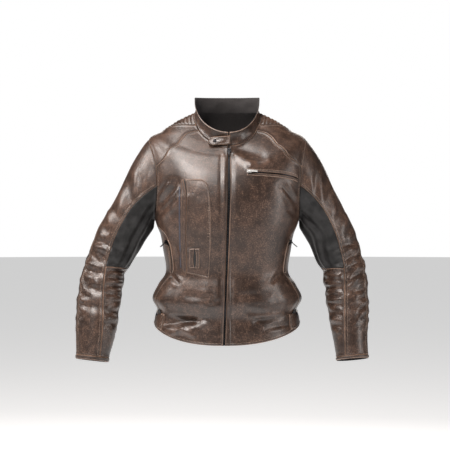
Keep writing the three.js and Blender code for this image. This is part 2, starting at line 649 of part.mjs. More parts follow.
// Hand-pocket zips, along the side seams.
const HAND_ZIP = { low: -440, high: -349, half: 4.5 };
function seamTurn(name, level) {
  const list = SIDE_SEAM[name].map((t) => t * DEG);
  return along(list, level, (t) => t);
}
function seamSpot(name, z, across) {
  const side = SIDE[name];
  let turn = 62 * DEG;
  for (let i = 0; i < 20; i++) turn = seamTurn(name, levelOf(side, turn, z));
  const level = levelOf(side, turn, z);
  const width = body(side, turn + 0.01, level).distanceTo(body(side, turn - 0.01, level)) / 0.02;
  return spot(side, turn + across / width, level);
}
for (const name of Object.keys(SIDE))
  piece(
    "hand_zip_tape_" + name,
    strip(
      steps(6).map((f) => [-1, 0, 1].map((u) => seamSpot(name, mix(HAND_ZIP.low, HAND_ZIP.high, f), u * HAND_ZIP.half))),
      0.9,
      ON_TOP + 0.8,
    ),
    tape,
  );

// Waist tabs round the sides, over the hem, each with a black snap.
for (const [name, side] of Object.entries(SIDE)) {
  piece(
    "waist_tab_" + name,
    strip(
      steps(4).map((v) => steps(8).map((u) => spot(side, mix(59, 121, u) * DEG, mix(0.3, 1.85, v)))),
      1.4,
      ON_TOP,
    ),
    leather,
  );
}

// Collar tab: a short strap with a rounded end that closes over the top of the zip.
const TAB = { from: 9, to: -52, middle: -80, half: 12 };
const tabSpot = (u, v) => {
  const x = mix(TAB.from, TAB.to, u);
  const round = Math.sqrt(Math.max(0.12, 1 - Math.pow(clamp((u - 0.76) / 0.24, 0, 1), 2)));
  const z = mix(-76, TAB.middle, u) + TAB.half * v * round;
  const y = mix(-88, -84.5 + 11 * Math.pow(x / 50, 2), (v + 1) / 2);
  return { point: V(x, y, z), normal: V(x < 0 ? x / 160 : 0, -1, 0.1).normalize() };
};
piece(
  "collar_tab",
  strip([-1, -0.5, 0, 0.5, 1].map((v) => [0, 0.2, 0.4, 0.6, 0.76, 0.86, 0.94, 1].map((u) => tabSpot(1 - u, v))), 1.4, 0),
  leather,
);

// ---- Hardware ----
const { Manifold } = wasm;
const block = (x0, x1, y0, y1, z0, z1) => Manifold.cube([x1 - x0, y1 - y0, z1 - z0]).translate([x0, y0, z0]);
// Places a solid so that its x runs across, its y down the zip and its z outwards.
function place(solid, { point, normal }, down, lift) {
  const z = normal.clone().normalize();
  const y = down.clone().addScaledVector(z, -down.dot(z)).normalize();
  const x = y.clone().cross(z);
  const matrix = new THREE.Matrix4().makeBasis(x, y, z).setPosition(point.clone().addScaledVector(z, lift));
  const { numProp, vertProperties, triVerts } = solid.getMesh();
  const geometry = new THREE.BufferGeometry();
  const xyz = new Float32Array((vertProperties.length / numProp) * 3).map((_, i) => vertProperties[Math.floor(i / 3) * numProp + (i % 3)]);
  geometry.setAttribute("position", new THREE.BufferAttribute(xyz, 3));
  geometry.setIndex([...triVerts]);
  return geometry.applyMatrix4(matrix);
}
const snapHead = (radius, height) => Manifold.cylinder(height, radius, radius * 0.72, 20);
{
  const at = tabSpot((TAB.from + 33) / (TAB.from - TAB.to), 0);
  piece("collar_snap", place(snapHead(5.2, 1.8), at, V(0, 0, -1), 1.4 + 1.5), blackened);
}
for (const [name, side] of Object.entries(SIDE))
  piece("waist_snap_" + name, place(snapHead(6, 2.4), spot(side, 76 * DEG, 1.5), V(0, 0, -1), ON_TOP + 1.4 + 0.7), blackened);

// A slider with two lugs, and its pull, whose barrel turns between them. Both are centred on the hinge's
// place along the zip; the pull lies down the zip until it is turned up by lift degrees.
const SLIDER = { wide: 9, long: 13, thick: 3, hinge: 5.1, gap: 3.8, lug: 1.2 };
const BARREL = { radius: 1.1, wide: 3 };
function sliderSolid(stem) {
  const { wide, long, thick, hinge, gap, lug } = SLIDER;
  const lugs = [-1, 1].map((s) => {
    const x = (s * (gap + lug)) / 2;
    return block(x - lug / 2, x + lug / 2, -2.2, 2.2, thick - 0.2, hinge + 1.3);
  });
  const foot = stem ? [block(-1.9, 1.9, -4.5, 4.5, -stem, 0.2)] : [];
  return Manifold.union([block(-wide / 2, wide / 2, -long / 2, long / 2, 0, thick), ...lugs, ...foot]);
}
function pullSolid(length, wide, turned) {
  const barrel = Manifold.cylinder(BARREL.wide, BARREL.radius, BARREL.radius, 16, true).rotate([0, 90, 0]);
  const neck = block(-1.1, 1.1, 0.4, 4.4, -0.6, 0.6);
  const plate = block(-wide / 2, wide / 2, 4.2, length, -0.6, 0.6);
  return Manifold.union([barrel, neck, plate]).rotate([turned, 0, 0]).translate([0, 0, SLIDER.hinge]);
}
function zipEnd(name, at, down, lift, stem, pull, metal) {
  piece(name + "_slider", place(sliderSolid(stem), at, down, lift), metal);
  piece(name + "_pull", place(pullSolid(pull.length, pull.wide, pull.turned), at, down, lift), metal);
}
const MAIN_PULL = { length: 21, wide: 6, turned: 0 };
zipEnd("main_zip", zipAcross(levelOf(1, 1 * DEG, -106), 0.001), V(0, 0, -1), WALL / 2 + 0.7, 2.9, MAIN_PULL, blackened);
{
  const f = 0.035;
  const [x, z] = chestLine(f);
  const CHEST_PULL = { length: 22, wide: 5.5, turned: 0 };
  zipEnd("chest_zip", frontSpot(1, x, z), V(1, 0, -0.05), ON_TOP + 3.3, 2.1, CHEST_PULL, silver);
}
const HAND_PULL = { length: 19, wide: 6, turned: 62 };
for (const name of Object.keys(SIDE))
  zipEnd("hand_zip_" + name, seamSpot(name, -354, 0), V(0, 0, -1), ON_TOP + 2.4, 0, HAND_PULL, blackened);

export default jacket;
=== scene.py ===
"""Leather riding jacket, cut and sewn: panels, sleeves, collar, pockets, zips, stitching and the studio."""

import math
from functools import lru_cache

import bpy
import numpy as np
from bpy.props import FloatProperty, FloatVectorProperty, PointerProperty
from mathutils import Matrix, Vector
from mathutils.bvhtree import BVHTree
from mathutils.kdtree import KDTree


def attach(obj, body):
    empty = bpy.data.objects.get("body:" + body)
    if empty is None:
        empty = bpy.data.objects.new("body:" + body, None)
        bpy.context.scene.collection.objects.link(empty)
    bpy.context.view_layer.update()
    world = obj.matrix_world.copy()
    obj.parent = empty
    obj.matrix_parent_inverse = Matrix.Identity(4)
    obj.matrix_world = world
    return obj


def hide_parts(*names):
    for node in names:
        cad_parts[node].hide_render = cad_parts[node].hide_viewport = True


bl_info = {
    "name": "Leather riding jacket",
    "version": (1, 0, 0),
    "blender": (4, 5, 0),
    "location": "View3D > Sidebar > Jacket",
    "description": "Cuts, sews and finishes a leather riding jacket in its worn form",
    "category": "Add Mesh",
}

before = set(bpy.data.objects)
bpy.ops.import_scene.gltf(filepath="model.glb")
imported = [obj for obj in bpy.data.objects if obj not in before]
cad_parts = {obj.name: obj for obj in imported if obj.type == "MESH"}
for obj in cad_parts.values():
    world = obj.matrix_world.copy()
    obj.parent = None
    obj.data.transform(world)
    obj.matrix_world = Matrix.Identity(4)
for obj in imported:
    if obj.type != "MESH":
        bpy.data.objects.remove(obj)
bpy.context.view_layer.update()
MM = 0.001
DEG = math.pi / 180
BODY = "jacket"
SIDE = {"right": -1, "left": 1}

# ---------------------------------------------------------------- the cut

WALL = 2.0
ARMHOLE = {"height": 222, "depth": 150, "top": -70}
SEAM_GAP = 0.01
CUFF_HEIGHT = 15
COLLAR_HEIGHT = 44
ZIP_OPENING = 6.4
SKIN = WALL / 2

# Level rings of the body from the hem to the neck: height at the side, front and back, half width, the
# extra on the wearer's left, depth to the front and back, and the two exponents of its outline.
RINGS = np.array(
    [
        (-585, -632, -618, 202, 0, 139, 137, 2.3, 1.5),
        (-563, -598, -586, 198, 0, 137, 133, 2.3, 1.5),
        (-541, -562, -552, 193, 0, 133, 128, 2.3, 1.6),
        (-510, -520, -514, 207, 0, 141, 138, 2.25, 1.8),
        (-472, -476, -474, 190, 0, 137, 130, 2.25, 2),
        (-437, -440, -438, 170, 0, 132, 120, 2.3, 2),
        (-375, -378, -376, 178, 0, 139, 123, 2.35, 2),
        (-335, -338, -336, 185, 0, 144, 127, 2.4, 2),
        (-298, -300, -298, 198, 0, 147, 131, 2.4, 2),
        (-230, -234, -228, 206, 5, 146, 134, 2.45, 2),
        (-150, -176, -146, 216, 9, 134, 130, 2.45, 1.8),
        (-72, -134, -84, 218, 2, 113, 112, 2.35, 1.7),
        (-45, -117, -48, 178, 0, 100, 97, 2.2, 1.5),
        (-17, -105, -19, 136, 0, 90, 82, 2.1, 1.2),
        (4, -92, 10, 90, 0, 80, 64, 2, 0.9),
    ],
    float,
)
NECK = len(RINGS) - 1
ARMPIT_LEVEL = 8

# Sleeve centre lines with half width across and half depth, from the shoulder to the wrist.
ARMS = {
    "right": np.array(
        [
            (196, -2, -165, 67, 78),
            (239, 0, -235, 66, 72),
            (266, 2, -286, 64.5, 66),
            (293, 4, -328, 63.5, 62),
            (315, 4, -370, 63, 60),
            (334, 0, -413, 59, 58),
            (345, -8, -451, 60, 57),
            (353, -20, -500, 60.5, 55),
            (358, -36, -561, 58.5, 52),
            (364, -50, -618, 52, 46),
            (371, -60, -680, 43, 38),
        ],
        float,
    ),
    "left": np.array(
        [
            (196, -2, -165, 67, 78),
            (239, 0, -236, 66, 72),
            (265, 2, -288, 65, 66),
            (290, 4, -332, 64, 62),
            (309, 4, -377, 63, 60),
            (324, 0, -420, 60, 58),
            (330, -8, -458, 61, 57),
            (335, -20, -512, 59, 54),
            (338, -36, -570, 54, 50),
            (341, -50, -628, 46, 44),
            (345, -60, -677, 42.5, 38),
        ],
        float,
    ),
}
SLEEVE_JOIN = 2
ARM_END = 10

# Large folds that the cut itself holds: [x0, z0, x1, z1, half width, height].
BODY_FOLDS = [
    (-182, -262, -142, -196, 13, -7),
    (-178, -290, -128, -236, 12, 4),
    (184, -262, 150, -205, 13, -5),
    (-172, -574, -96, -566, 13, -8),
    (-160, -594, -96, -590, 13, 6),
    (176, -580, 84, -566, 13, -5),
    (168, -560, 96, -548, 12, 4),
    (-146, -350, -132, -400, 10, -3),
]
SOFT_FOLDS = [
    (26, -122, 62, -146, 12, 5.0),
    (66, -150, 112, -138, 11, 3.4),
    (30, -96, 92, -118, 14, -3.6),
    (-60, -560, -164, -578, 9, -5.0),
    (-152, -606, -120, -588, 6, 3.6),
    (-120, -588, -92, -606, 6, 3.6),
    (-152, -612, -114, -618, 5, 2.6),
]
SLEEVE_FOLDS = [
    (60, -372, 70, 11, -5),
    (80, -412, 80, 11, -6),
    (95, -452, 85, 12, -5),
    (150, -430, 60, 12, -7),
    (150, -478, 60, 12, -6),
    (70, -500, 70, 12, -4),
    (130, -545, 70, 14, -5),
]

# Counts of cells: a pattern cell of the CAD cut is split into FINE smaller ones.
COLUMNS = {"front": 7, "seam": 2, "under": 5, "back": 6, "yoke": 5, "rib": 3}
ROWS = {"lower": 14, "armhole": 5, "shoulder": 5}
FINE = {"front": 10, "seam": 8, "under": 7, "back": 8, "yoke": 7, "rib": 4}
FINE.update({"lower": 9, "armhole": 8, "shoulder": 24})
ARMHOLE_CORNERS = {"front_low": -49, "yoke": 16, "rib_front": 107, "rib_back": 140, "back_low": 229}
NECK_CORNERS = {"yoke": 60, "rib_front": 71, "rib_back": 116}
HEM_CORNERS = {"front": 44, "back": 128}
SIDE_SEAM = {"right": (68, 68, 69, 70, 66, 60, 58, 63), "left": (68, 68, 69, 71, 69, 66, 65, 69)}
YOKE_LINE = ((167, -119), (140, -89), (120, -64), (102, -53))
TOP, REAR, INSERT = 7, 9, 9
CAP_ROWS, TUBE_ROWS, INSERT_END = 5, 11, 10
CAP_FINE, TUBE_FINE = 9, 16


def mix(a, b, f):
    return a + (b - a) * f


def smooth(f):
    return f * f * (3 - 2 * f)


def along(values, t):
    """Catmull-Rom curve through a list of values, read at the fractional place t."""
    v = np.asarray(values, float)
    t = np.asarray(t, float)
    i = np.clip(np.floor(t).astype(int), 0, len(v) - 2)
    f = t - i
    a, b, c, d = (v[np.clip(i + k, 0, len(v) - 1)] for k in (-1, 0, 1, 2))
    if v.ndim > 1:
        f = f[..., None]
    return b + 0.5 * f * (c - a + f * (2 * a - 5 * b + 4 * c - d + f * (3 * (b - c) + d - a)))


def unit(v):
    return v / np.maximum(np.linalg.norm(v, axis=-1, keepdims=True), 1e-12)


def steps(n):
    return np.linspace(0, 1, n + 1)


def ring(level, k):
    return along(RINGS[:, k], level)


def bare(side, turn, level):
    """A point of the body's form. turn runs from the centre front (0) by the side to the centre back."""
    s, c = np.sin(turn), np.cos(turn)
    front = c > 0
    square = 2 / ring(level, 7)
    depth = np.where(front, ring(level, 5), ring(level, 6))
    z = mix(ring(level, 0), np.where(front, ring(level, 1), ring(level, 2)), np.abs(c) ** ring(level, 8))
    lean = np.where(front, c * c * mix(-8, 5, np.clip((z + 632) / 400, 0, 1)), 0)
    half = ring(level, 3) + (ring(level, 4) if side > 0 else 0)
    x = side * half * np.maximum(s, 0) ** square + lean
    return np.stack([x, -depth * np.sign(c) * np.abs(c) ** square, z], -1)


def level_of(side, turn, z):
    lo, hi = np.zeros(np.broadcast(turn, z).shape), np.full(np.broadcast(turn, z).shape, float(NECK))
    for _ in range(26):
        mid = (lo + hi) / 2
        under = bare(side, turn, mid)[..., 2] < z
        lo, hi = np.where(under, mid, lo), np.where(under, hi, mid)
    return (lo + hi) / 2


def locate(side, axis, value, z, lo, hi):
    value, z = np.broadcast_arrays(np.asarray(value, float), np.asarray(z, float))
    lo, hi = np.full(z.shape, lo), np.full(z.shape, hi)
    for _ in range(26):
        mid = (lo + hi) / 2
        p = bare(side, mid, level_of(side, mid, z))
        under = (p[..., 0] * side if axis == 0 else p[..., 1]) < value
        lo, hi = np.where(under, mid, lo), np.where(under, hi, mid)
    turn = (lo + hi) / 2
    return np.stack([turn, level_of(side, turn, z)], -1)


def on_front(side, x, z):
    return locate(side, 0, np.asarray(x, float) * side, z, 0.0, 90 * DEG)


def outwards(side, turn, level):
    e = 1e-3
    across = bare(side, turn + e, level) - bare(side, turn - e, level)
    up = bare(side, turn, np.minimum(level + e, NECK)) - bare(side, turn, np.maximum(level - e, 0))
    return unit(np.cross(across, up) * side)


# ---------------------------------------------------------------- creases

LATTICE = 32
_lattice = np.random.default_rng(11).random((LATTICE,) * 3) * 2 - 1


def noise(p, scale, seed=0):
    """Soft value noise of points p, with cells of the given size in millimetres."""
    q = np.asarray(p, float) / scale + seed * 7.31
    i = np.floor(q).astype(int)
    f = smooth(q - i)
    total = 0
    for dx in (0, 1):
        for dy in (0, 1):
            for dz in (0, 1):
                w = np.abs(1 - dx - f[..., 0]) * np.abs(1 - dy - f[..., 1]) * np.abs(1 - dz - f[..., 2])
                x, y, z = np.moveaxis((i + (dx, dy, dz)) % LATTICE, -1, 0)
                total = total + w * _lattice[x, y, z]
    return total


def folds(u, v, lines):
    """Height of soft ridges and troughs along straight lines."""
    total = np.zeros(np.broadcast(u, v).shape)
    for u0, v0, u1, v1, width, height in lines:
        du, dv = u1 - u0, v1 - v0
        f = np.clip(((u - u0) * du + (v - v0) * dv) / (du * du + dv * dv), 0, 1)
        away = np.hypot(u - u0 - f * du, v - v0 - f * dv) / width
        total = total + height * np.exp(-away * away)
    return total


def creases(u, v, lines):
    """Narrow pressed creases: a trough with a small ridge on each side, dying away at both ends."""
    total = np.zeros(np.broadcast(u, v).shape)
    for u0, v0, u1, v1, width, depth in lines:
        du, dv = u1 - u0, v1 - v0
        f = ((u - u0) * du + (v - v0) * dv) / (du * du + dv * dv)
        end = np.clip(1 - (2 * f - 1) ** 4, 0, 1)
        reach = np.clip(f, 0, 1)
        away = np.hypot(u - u0 - reach * du, v - v0 - reach * dv) / width
        total = total + end * depth * (0.55 * np.exp(-(((away - 1.9) / 0.9) ** 2)) - np.exp(-away * away))
    return total


FRONT_CREASES = [
    (-166, -556, -70, -572, 7, 2.6),
    (48, -540, 120, -548, 7, 2.2),
    (70, -566, 158, -556, 6, 2.4),
    (96, -590, 168, -578, 6, 1.8),
    (-186, -254, -138, -198, 7, 3.4),
    (-188, -284, -136, -236, 7, 2.8),
    (-192, -228, -160, -184, 5, 2.2),
    (194, -256, 152, -200, 6, 2.6),
    (190, -290, 162, -262, 6, 1.4),
    (-140, -366, -126, -428, 5, 2.0),
    (-158, -440, -128, -470, 6, 2.0),
    (150, -430, 118, -468, 6, 2.0),
    (20, -500, 120, -494, 9, 1.6),
    (-120, -498, -30, -506, 9, 1.6),
    (-60, -520, -14, -512, 6, 1.2),
]
BACK_CREASES = [
    (-150, -440, -40, -452, 9, 3.0),
    (150, -444, 36, -456, 9, 3.0),
    (-120, -470, 20, -478, 9, 2.6),
    (130, -484, -10, -470, 9, 2.2),
    (-190, -270, -120, -200, 8, 3.0),
    (190, -270, 120, -200, 8, 3.0),
    (-196, -240, -140, -160, 7, 2.2),
    (196, -240, 140, -160, 7, 2.2),
    (-70, -130, 70, -124, 12, 2.0),
    (-150, -570, -60, -560, 8, 2.6),
    (150, -566, 60, -560, 8, 2.6),
    (-40, -585, 60, -578, 8, 2.0),
    (-100, -330, -60, -410, 9, 1.6),
    (100, -330, 60, -410, 9, 1.6),
]


def body_relief(p, turn):
    """Height of the leather's folds over the body's form."""
    c = np.cos(turn)
    x, z = p[..., 0], p[..., 2]
    front = np.where(c > 0, folds(x, z, BODY_FOLDS + SOFT_FOLDS) * c, 0)
    front = front + np.where(c > -0.15, creases(x, z, FRONT_CREASES), 0) * np.clip(c * 4, 0, 1)
    back = np.where(c < 0.15, creases(x, z, BACK_CREASES), 0) * np.clip(-c * 4, 0, 1)
    blouse = np.exp(-(((z + 505) / 50) ** 2))
    pleat = np.sin(np.arctan2(x, -p[..., 1]) * 21 + 3 * noise(p, 60, 3)) * 0.9 * blouse
    wide = noise(p * (1, 1, 0.6), 70, 1) * 0.8 + noise(p * (1, 1, 1.3), 26, 2) * 0.22
    return front + back + pleat * 0.6 + wide + noise(p, 11, 4) * 0.06


def zip_edge(p, turn):
    """The rolled edges of the fronts along the main zip."""
    x, z = p[..., 0], p[..., 2]
    right = 2.0 * np.exp(-(((x + 8) / 4.2) ** 2)) - 1.4 * np.exp(-(((x + 16.5) / 3.4) ** 2))
    left = 1.3 * np.exp(-(((x - 4.6) / 2.6) ** 2)) - 2.4 * np.exp(-(((x - 12.5) / 4) ** 2))
    return np.clip((-112 - z) / 14, 0, 1) * (np.cos(turn) > 0) * np.where(x < 0, right, left)


# ---------------------------------------------------------------- the net of all panels


def coons(bottom, top, left, right):
    n, m = len(bottom) - 1, len(left) - 1
    u, v = steps(n)[None, :, None], steps(m)[:, None, None]
    return (
        mix(bottom[None], top[None], v)
        + mix(left[:, None], right[:, None], u)
        - mix(mix(bottom[0], bottom[-1], u), mix(top[0], top[-1], u), v)
    )


def between(a, b, n, ease=None):
    f = steps(n)
    turn = mix(a[0], b[0], ease(f) if ease else f)
    return np.stack([turn, mix(a[1], b[1], f)], -1)


def armhole_point(side, degrees):
    half = ARMHOLE["height"] / 2
    y = (-ARMHOLE["depth"] / 2) * np.cos(degrees * DEG)
    z = ARMHOLE["top"] - half + half * np.sin(degrees * DEG)
    return locate(side, 1, y, z, 15 * DEG, 165 * DEG)


WELD = 25  # points less than 1 / WELD of a millimetre apart are one point


class Net:
    """Grids of points that share their vertices along every seam."""

    def __init__(self):
        self.grids = []

    def add(self, panel, points, flip, relief, firm=0):
        firm = firm * np.ones_like(relief)
        self.grids.append({"panel": panel, "points": points, "flip": flip, "relief": relief, "firm": firm})

    def weld(self):
        flat = np.concatenate([g["points"].reshape(-1, 3) for g in self.grids])
        rounded = np.round(flat * WELD).astype(int)
        _, first, back = np.unique(rounded, axis=0, return_index=True, return_inverse=True)
        back = back.reshape(-1)
        self.points = flat[first]
        at = 0
        quads, owner, names = [], [], []
        for g in self.grids:
            m, n = g["points"].shape[:2]
            ids = back[at : at + m * n].reshape(m, n)
            at += m * n
            g["ids"] = ids
            q = np.stack([ids[:-1, :-1], ids[:-1, 1:], ids[1:, 1:], ids[1:, :-1]], -1).reshape(-1, 4)
            g["quads"] = q[:, ::-1] if g["flip"] else q
            quads.append(g["quads"])
            if g["panel"] not in names:
                names.append(g["panel"])
            owner.append(np.full(len(q), names.index(g["panel"])))
        self.quads, self.owner, self.names = np.concatenate(quads), np.concatenate(owner), names
        self._rim()
        self._distance()
        lift, firm, count = np.zeros((3, len(self.points)))
        for g in self.grids:
            np.add.at(lift, g["ids"].reshape(-1), g["relief"].reshape(-1))
            np.add.at(firm, g["ids"].reshape(-1), g["firm"].reshape(-1))
            np.add.at(count, g["ids"].reshape(-1), 1)
        fade = 1 - 0.75 * np.exp(-((self.seam / 7) ** 2))
        self.relief = lift / count * fade + firm / count
        self.points = self.points + self.normals()[0] * self.relief[:, None]

    def normals(self):
        a, b, c, d = (self.points[self.quads[:, k]] for k in range(4))
        face = np.cross(c - a, d - b)
        total = np.zeros_like(self.points)
        for k in range(4):
            np.add.at(total, self.quads[:, k], face)
        return unit(total), face

    def _rim(self):
        """Finds the edges that only one panel uses."""
        self.edges = {}
        for k, name in enumerate(self.names):
            q = self.quads[self.owner == k]
            e = np.concatenate([q[:, [i, (i + 1) % 4]] for i in range(4)])
            key = e[:, 0].astype(np.int64) * 10**7 + e[:, 1]
            twin = e[:, 1].astype(np.int64) * 10**7 + e[:, 0]
            self.edges[name] = e[~np.isin(key, twin)]

    def _distance(self):
        """Distance of every point to the nearest seam or edge."""
        rim = np.unique(np.concatenate([e.reshape(-1) for e in self.edges.values()]))
        tree = KDTree(len(rim))
        for i in rim:
            tree.insert(self.points[i], int(i))
        tree.balance()
        self.seam = np.array([tree.find(p)[2] for p in self.points])


def arc(side, a, b, n):
    return armhole_point(side, mix(a, b, steps(n)))


def body_panels(net, name):
    side, flip = SIDE[name], SIDE[name] < 0
    count = {k: COLUMNS.get(k, ROWS.get(k)) * FINE[k] for k in FINE}
    c = ARMHOLE_CORNERS
    front_edge = arc(side, c["front_low"], c["yoke"], count["armhole"])
    yoke_top = arc(side, c["yoke"], c["rib_front"], count["yoke"])
    rib_top = arc(side, c["rib_front"], c["rib_back"], count["rib"])
    back_edge = arc(side, c["rib_back"], c["back_low"], count["armhole"])
    foot = arc(side, c["back_low"], c["front_low"] + 360, count["under"] + count["seam"])[::-1]

    def neck(key):
        return np.array([NECK_CORNERS[key] * DEG, NECK])

    def cf(level):
        return np.stack([np.arcsin((ZIP_OPENING / 2 / ring(level, 3)) ** 1.15), level], -1)

    line = np.array(YOKE_LINE, float)
    nodes = np.concatenate([front_edge[-1:], on_front(side, side * line[:, 0], line[:, 1]), [neck("yoke")]])
    yoke_seam = along(nodes, steps(count["shoulder"]) * (len(nodes) - 1))
    rib_seam = between(rib_top[0], neck("rib_front"), count["shoulder"], smooth)
    back_seam = between(rib_top[-1], neck("rib_back"), count["shoulder"])

    lower = steps(count["lower"])
    seam_top = foot[count["seam"]]

    def column(hem_degrees, top, bend):
        return np.stack([mix(hem_degrees * DEG, top[0], lower**bend), lower * top[1]], -1)

    cf_low = cf(lower * ARMPIT_LEVEL)
    front_column = column(HEM_CORNERS["front"], front_edge[0], 3)
    turns = [t * DEG for t in SIDE_SEAM[name]] + [seam_top[0]]
    side_seam = np.stack([along(turns, lower * (len(turns) - 1)), lower * seam_top[1]], -1)
    back_column = column(HEM_CORNERS["back"], foot[-1], 3)
    cb_low = np.stack([np.full_like(lower, math.pi), lower * ARMPIT_LEVEL], -1)

    def hem(a, b, n):
        return between((a[0][0], 0), (b[0][0], 0), n)

    def add(panel, bottom, top, left, right):
        pairs = coons(bottom, top, left, right)
        turn, level = pairs[..., 0], pairs[..., 1]
        p = bare(side, turn, level)
        relief = body_relief(p, turn)
        firm = zip_edge(p, turn) if panel.startswith("front") else 0
        if panel.startswith("rib"):
            pitch = np.linspace(0, 15.5, len(left))[:, None]
            ribs = 2.2 * np.abs(np.sin(math.pi * pitch)) ** 0.7 - 0.4
            relief = relief * 0.3
            firm = ribs * np.sin(math.pi * steps(len(bottom) - 1))[None, :] ** 0.3
        net.add(panel, p, flip, relief, firm)

    front, n = "front_" + name, count
    front_waist = between(cf_low[-1], front_edge[0], n["front"])
    back_waist = between(foot[-1], cb_low[-1], n["back"])
    add(front, hem(cf_low, front_column, n["front"]), front_waist, cf_low, front_column)
    add(front, hem(front_column, side_seam, n["seam"]), foot[: n["seam"] + 1], front_column, side_seam)
    add("back", hem(side_seam, back_column, n["under"]), foot[n["seam"] :], side_seam, back_column)
    add("back", hem(back_column, cb_low, n["back"]), back_waist, back_column, cb_low)
    climb = np.concatenate([steps(n["armhole"]) / 2, 0.5 + steps(n["shoulder"])[1:] / 2])
    span = mix(ARMPIT_LEVEL, NECK, climb)
    cf_high, cb_high = cf(span), np.stack([np.full_like(span, math.pi), span], -1)
    yoke_side = np.concatenate([front_edge, yoke_seam[1:]])
    back_side = np.concatenate([back_edge[::-1], back_seam[1:]])
    ends = [line[-1] for line in (cf_high, yoke_seam, rib_seam, back_seam, cb_high)]
    necks = [between(a, b, n[k]) for a, b, k in zip(ends, ends[1:], ("front", "yoke", "rib", "back"))]
    add(front, front_waist, necks[0], cf_high, yoke_side)
    add("back", back_waist, necks[3], back_side, cb_high)
    add("yoke_" + name, yoke_top, necks[1], yoke_seam, rib_seam)
    add("rib_" + name, rib_top, necks[2], rib_seam, back_seam)

    ring_pairs = np.concatenate([front_edge, yoke_top[1:], rib_top[1:], back_edge[1:], foot[::-1][1:]])[:-1]
    neck_pairs = np.concatenate([necks[0], *(line[1:] for line in necks[1:])])
    counts = (n["armhole"], n["yoke"], n["rib"], n["armhole"], n["under"] + n["seam"])
    places = (0, 5, 10, 13, 18, 25)
    coarse = np.concatenate([np.linspace(a, b, m + 1)[:-1] for a, b, m in zip(places, places[1:], counts)])
    at = [bare(side, pairs[:, 0], pairs[:, 1]) for pairs in (ring_pairs, neck_pairs)]
    return at[0], coarse, at[1]


def front_seam_turn(f):
    return mix(76, 122, f**1.6)


def outer_seam_turn(f):
    return mix(-16, 26, smooth(np.clip(f * 1.5, 0, 1)))


def insert_back_turn(f):
    return mix(206, 200, f) - 360


def tube(name, w, turn, swell=0.0):
    arm = ARMS[name]
    side = SIDE[name]
    flip = np.array([side, 1, 1])
    at = along(arm, w)
    centre = at[..., :3] * flip
    run = unit((along(arm[:, :3], w + 0.02) - along(arm[:, :3], w - 0.02)) * flip)
    outer = unit(np.cross(run, (0, 1, 0)) * side)
    front = unit(np.cross(outer, run) * side)
    front = np.where(front[..., 1:2] > 0, -front, front)
    fold = 0
    for a, z, half, width, height in SLEEVE_FOLDS:
        fold = fold + height * np.exp(
            -((((turn - a + 540) % 360 - 180) / half) ** 2) - ((centre[..., 2] - z) / width) ** 2
        )
    across = (at[..., 3] + swell + fold) * np.cos(turn * DEG)
    deep = (at[..., 4] + swell + fold) * np.sin(turn * DEG)
    return centre + outer * across[..., None] + front * deep[..., None]


def arm_direction(name, w):
    flip = np.array([SIDE[name], 1, 1])
    return unit((along(ARMS[name][:, :3], w + 0.1) - along(ARMS[name][:, :3], w - 0.1)) * flip)


# Creases of a sleeve: [turn0, z0, turn1, z1, half width, depth]; turn is 0 on the outer side, 90 in front.
ARM_CREASES = [
    (0, -398, 96, -402, 8.5, 3.8),
    (-10, -388, 60, -378, 8.5, 2.28),
    (10, -414, 92, -424, 7.5, 2.85),
    (-6, -436, 84, -462, 7.5, 2.66),
    (4, -452, 78, -480, 7.5, 2.28),
    (20, -470, 88, -500, 7.5, 2.28),
    (0, -500, 70, -524, 7.5, 1.9),
    (10, -526, 76, -548, 7.5, 1.71),
    (0, -552, 60, -570, 8.5, 1.52),
    (100, -440, 170, -424, 7.5, 3.23),
    (104, -462, 176, -446, 7.5, 3.04),
    (100, -486, 172, -474, 7.5, 2.85),
    (108, -508, 176, -494, 7.5, 2.85),
    (104, -532, 170, -520, 8.5, 2.66),
    (110, -560, 176, -544, 8.5, 2.28),
    (108, -588, 168, -576, 8.5, 1.9),
    (20, -240, 70, -262, 10.5, 1.9),
    (10, -280, 72, -306, 10.5, 2.09),
    (0, -320, 66, -346, 9.5, 2.09),
    (40, -200, 84, -232, 9.5, 1.71),
    (200, -430, 290, -420, 8.5, 3.04),
    (196, -458, 284, -452, 8.5, 2.85),
    (204, -488, 300, -480, 8.5, 2.47),
    (210, -398, 300, -392, 9.5, 2.85),
    (220, -340, 310, -330, 10.5, 2.09),
    (260, -280, 330, -262, 10.5, 1.9),
    (200, -540, 280, -530, 9.5, 2.09),
]


def sleeve_relief(name, turn, z, p):
    """Folds of a sleeve over its tube; the forearm is crumpled and the upper arm softer."""
    t = (turn + 720 + 60) % 360 - 60
    shift = 0 if name == "right" else 6
    lines = [(a, b - shift, c, d - shift, w, h) for a, b, c, d, w, h in ARM_CREASES]
    height = creases(t, z, lines) + creases(t - 360, z, lines)
    fore = smooth(np.clip((-375 - z) / 45, 0, 1)) * smooth(np.clip((z + 655) / 60, 0, 1))
    phase = (z + 0.8 * np.abs(t) + 12 * noise(p, 60, 5)) * 2 * math.pi / 26
    patchy = np.clip(0.5 + 1.0 * noise(p * (1, 1, 0.8), 60, 10), 0, 1.1)
    wave = (1 - np.abs(np.sin(phase / 2))) ** 1.5 * patchy
    crumple = noise(p * (1, 1, 1.3), 36, 6) * 1.2 + noise(p * (1, 1, 1.3), 17, 7) * 0.18
    soft = noise(p, 50, 8) * 1.6 + noise(p * (1, 1, 0.8), 24, 9) * 0.35
    return height * 1.15 + fore * (wave * 2.3 - 0.7 + crumple) + soft


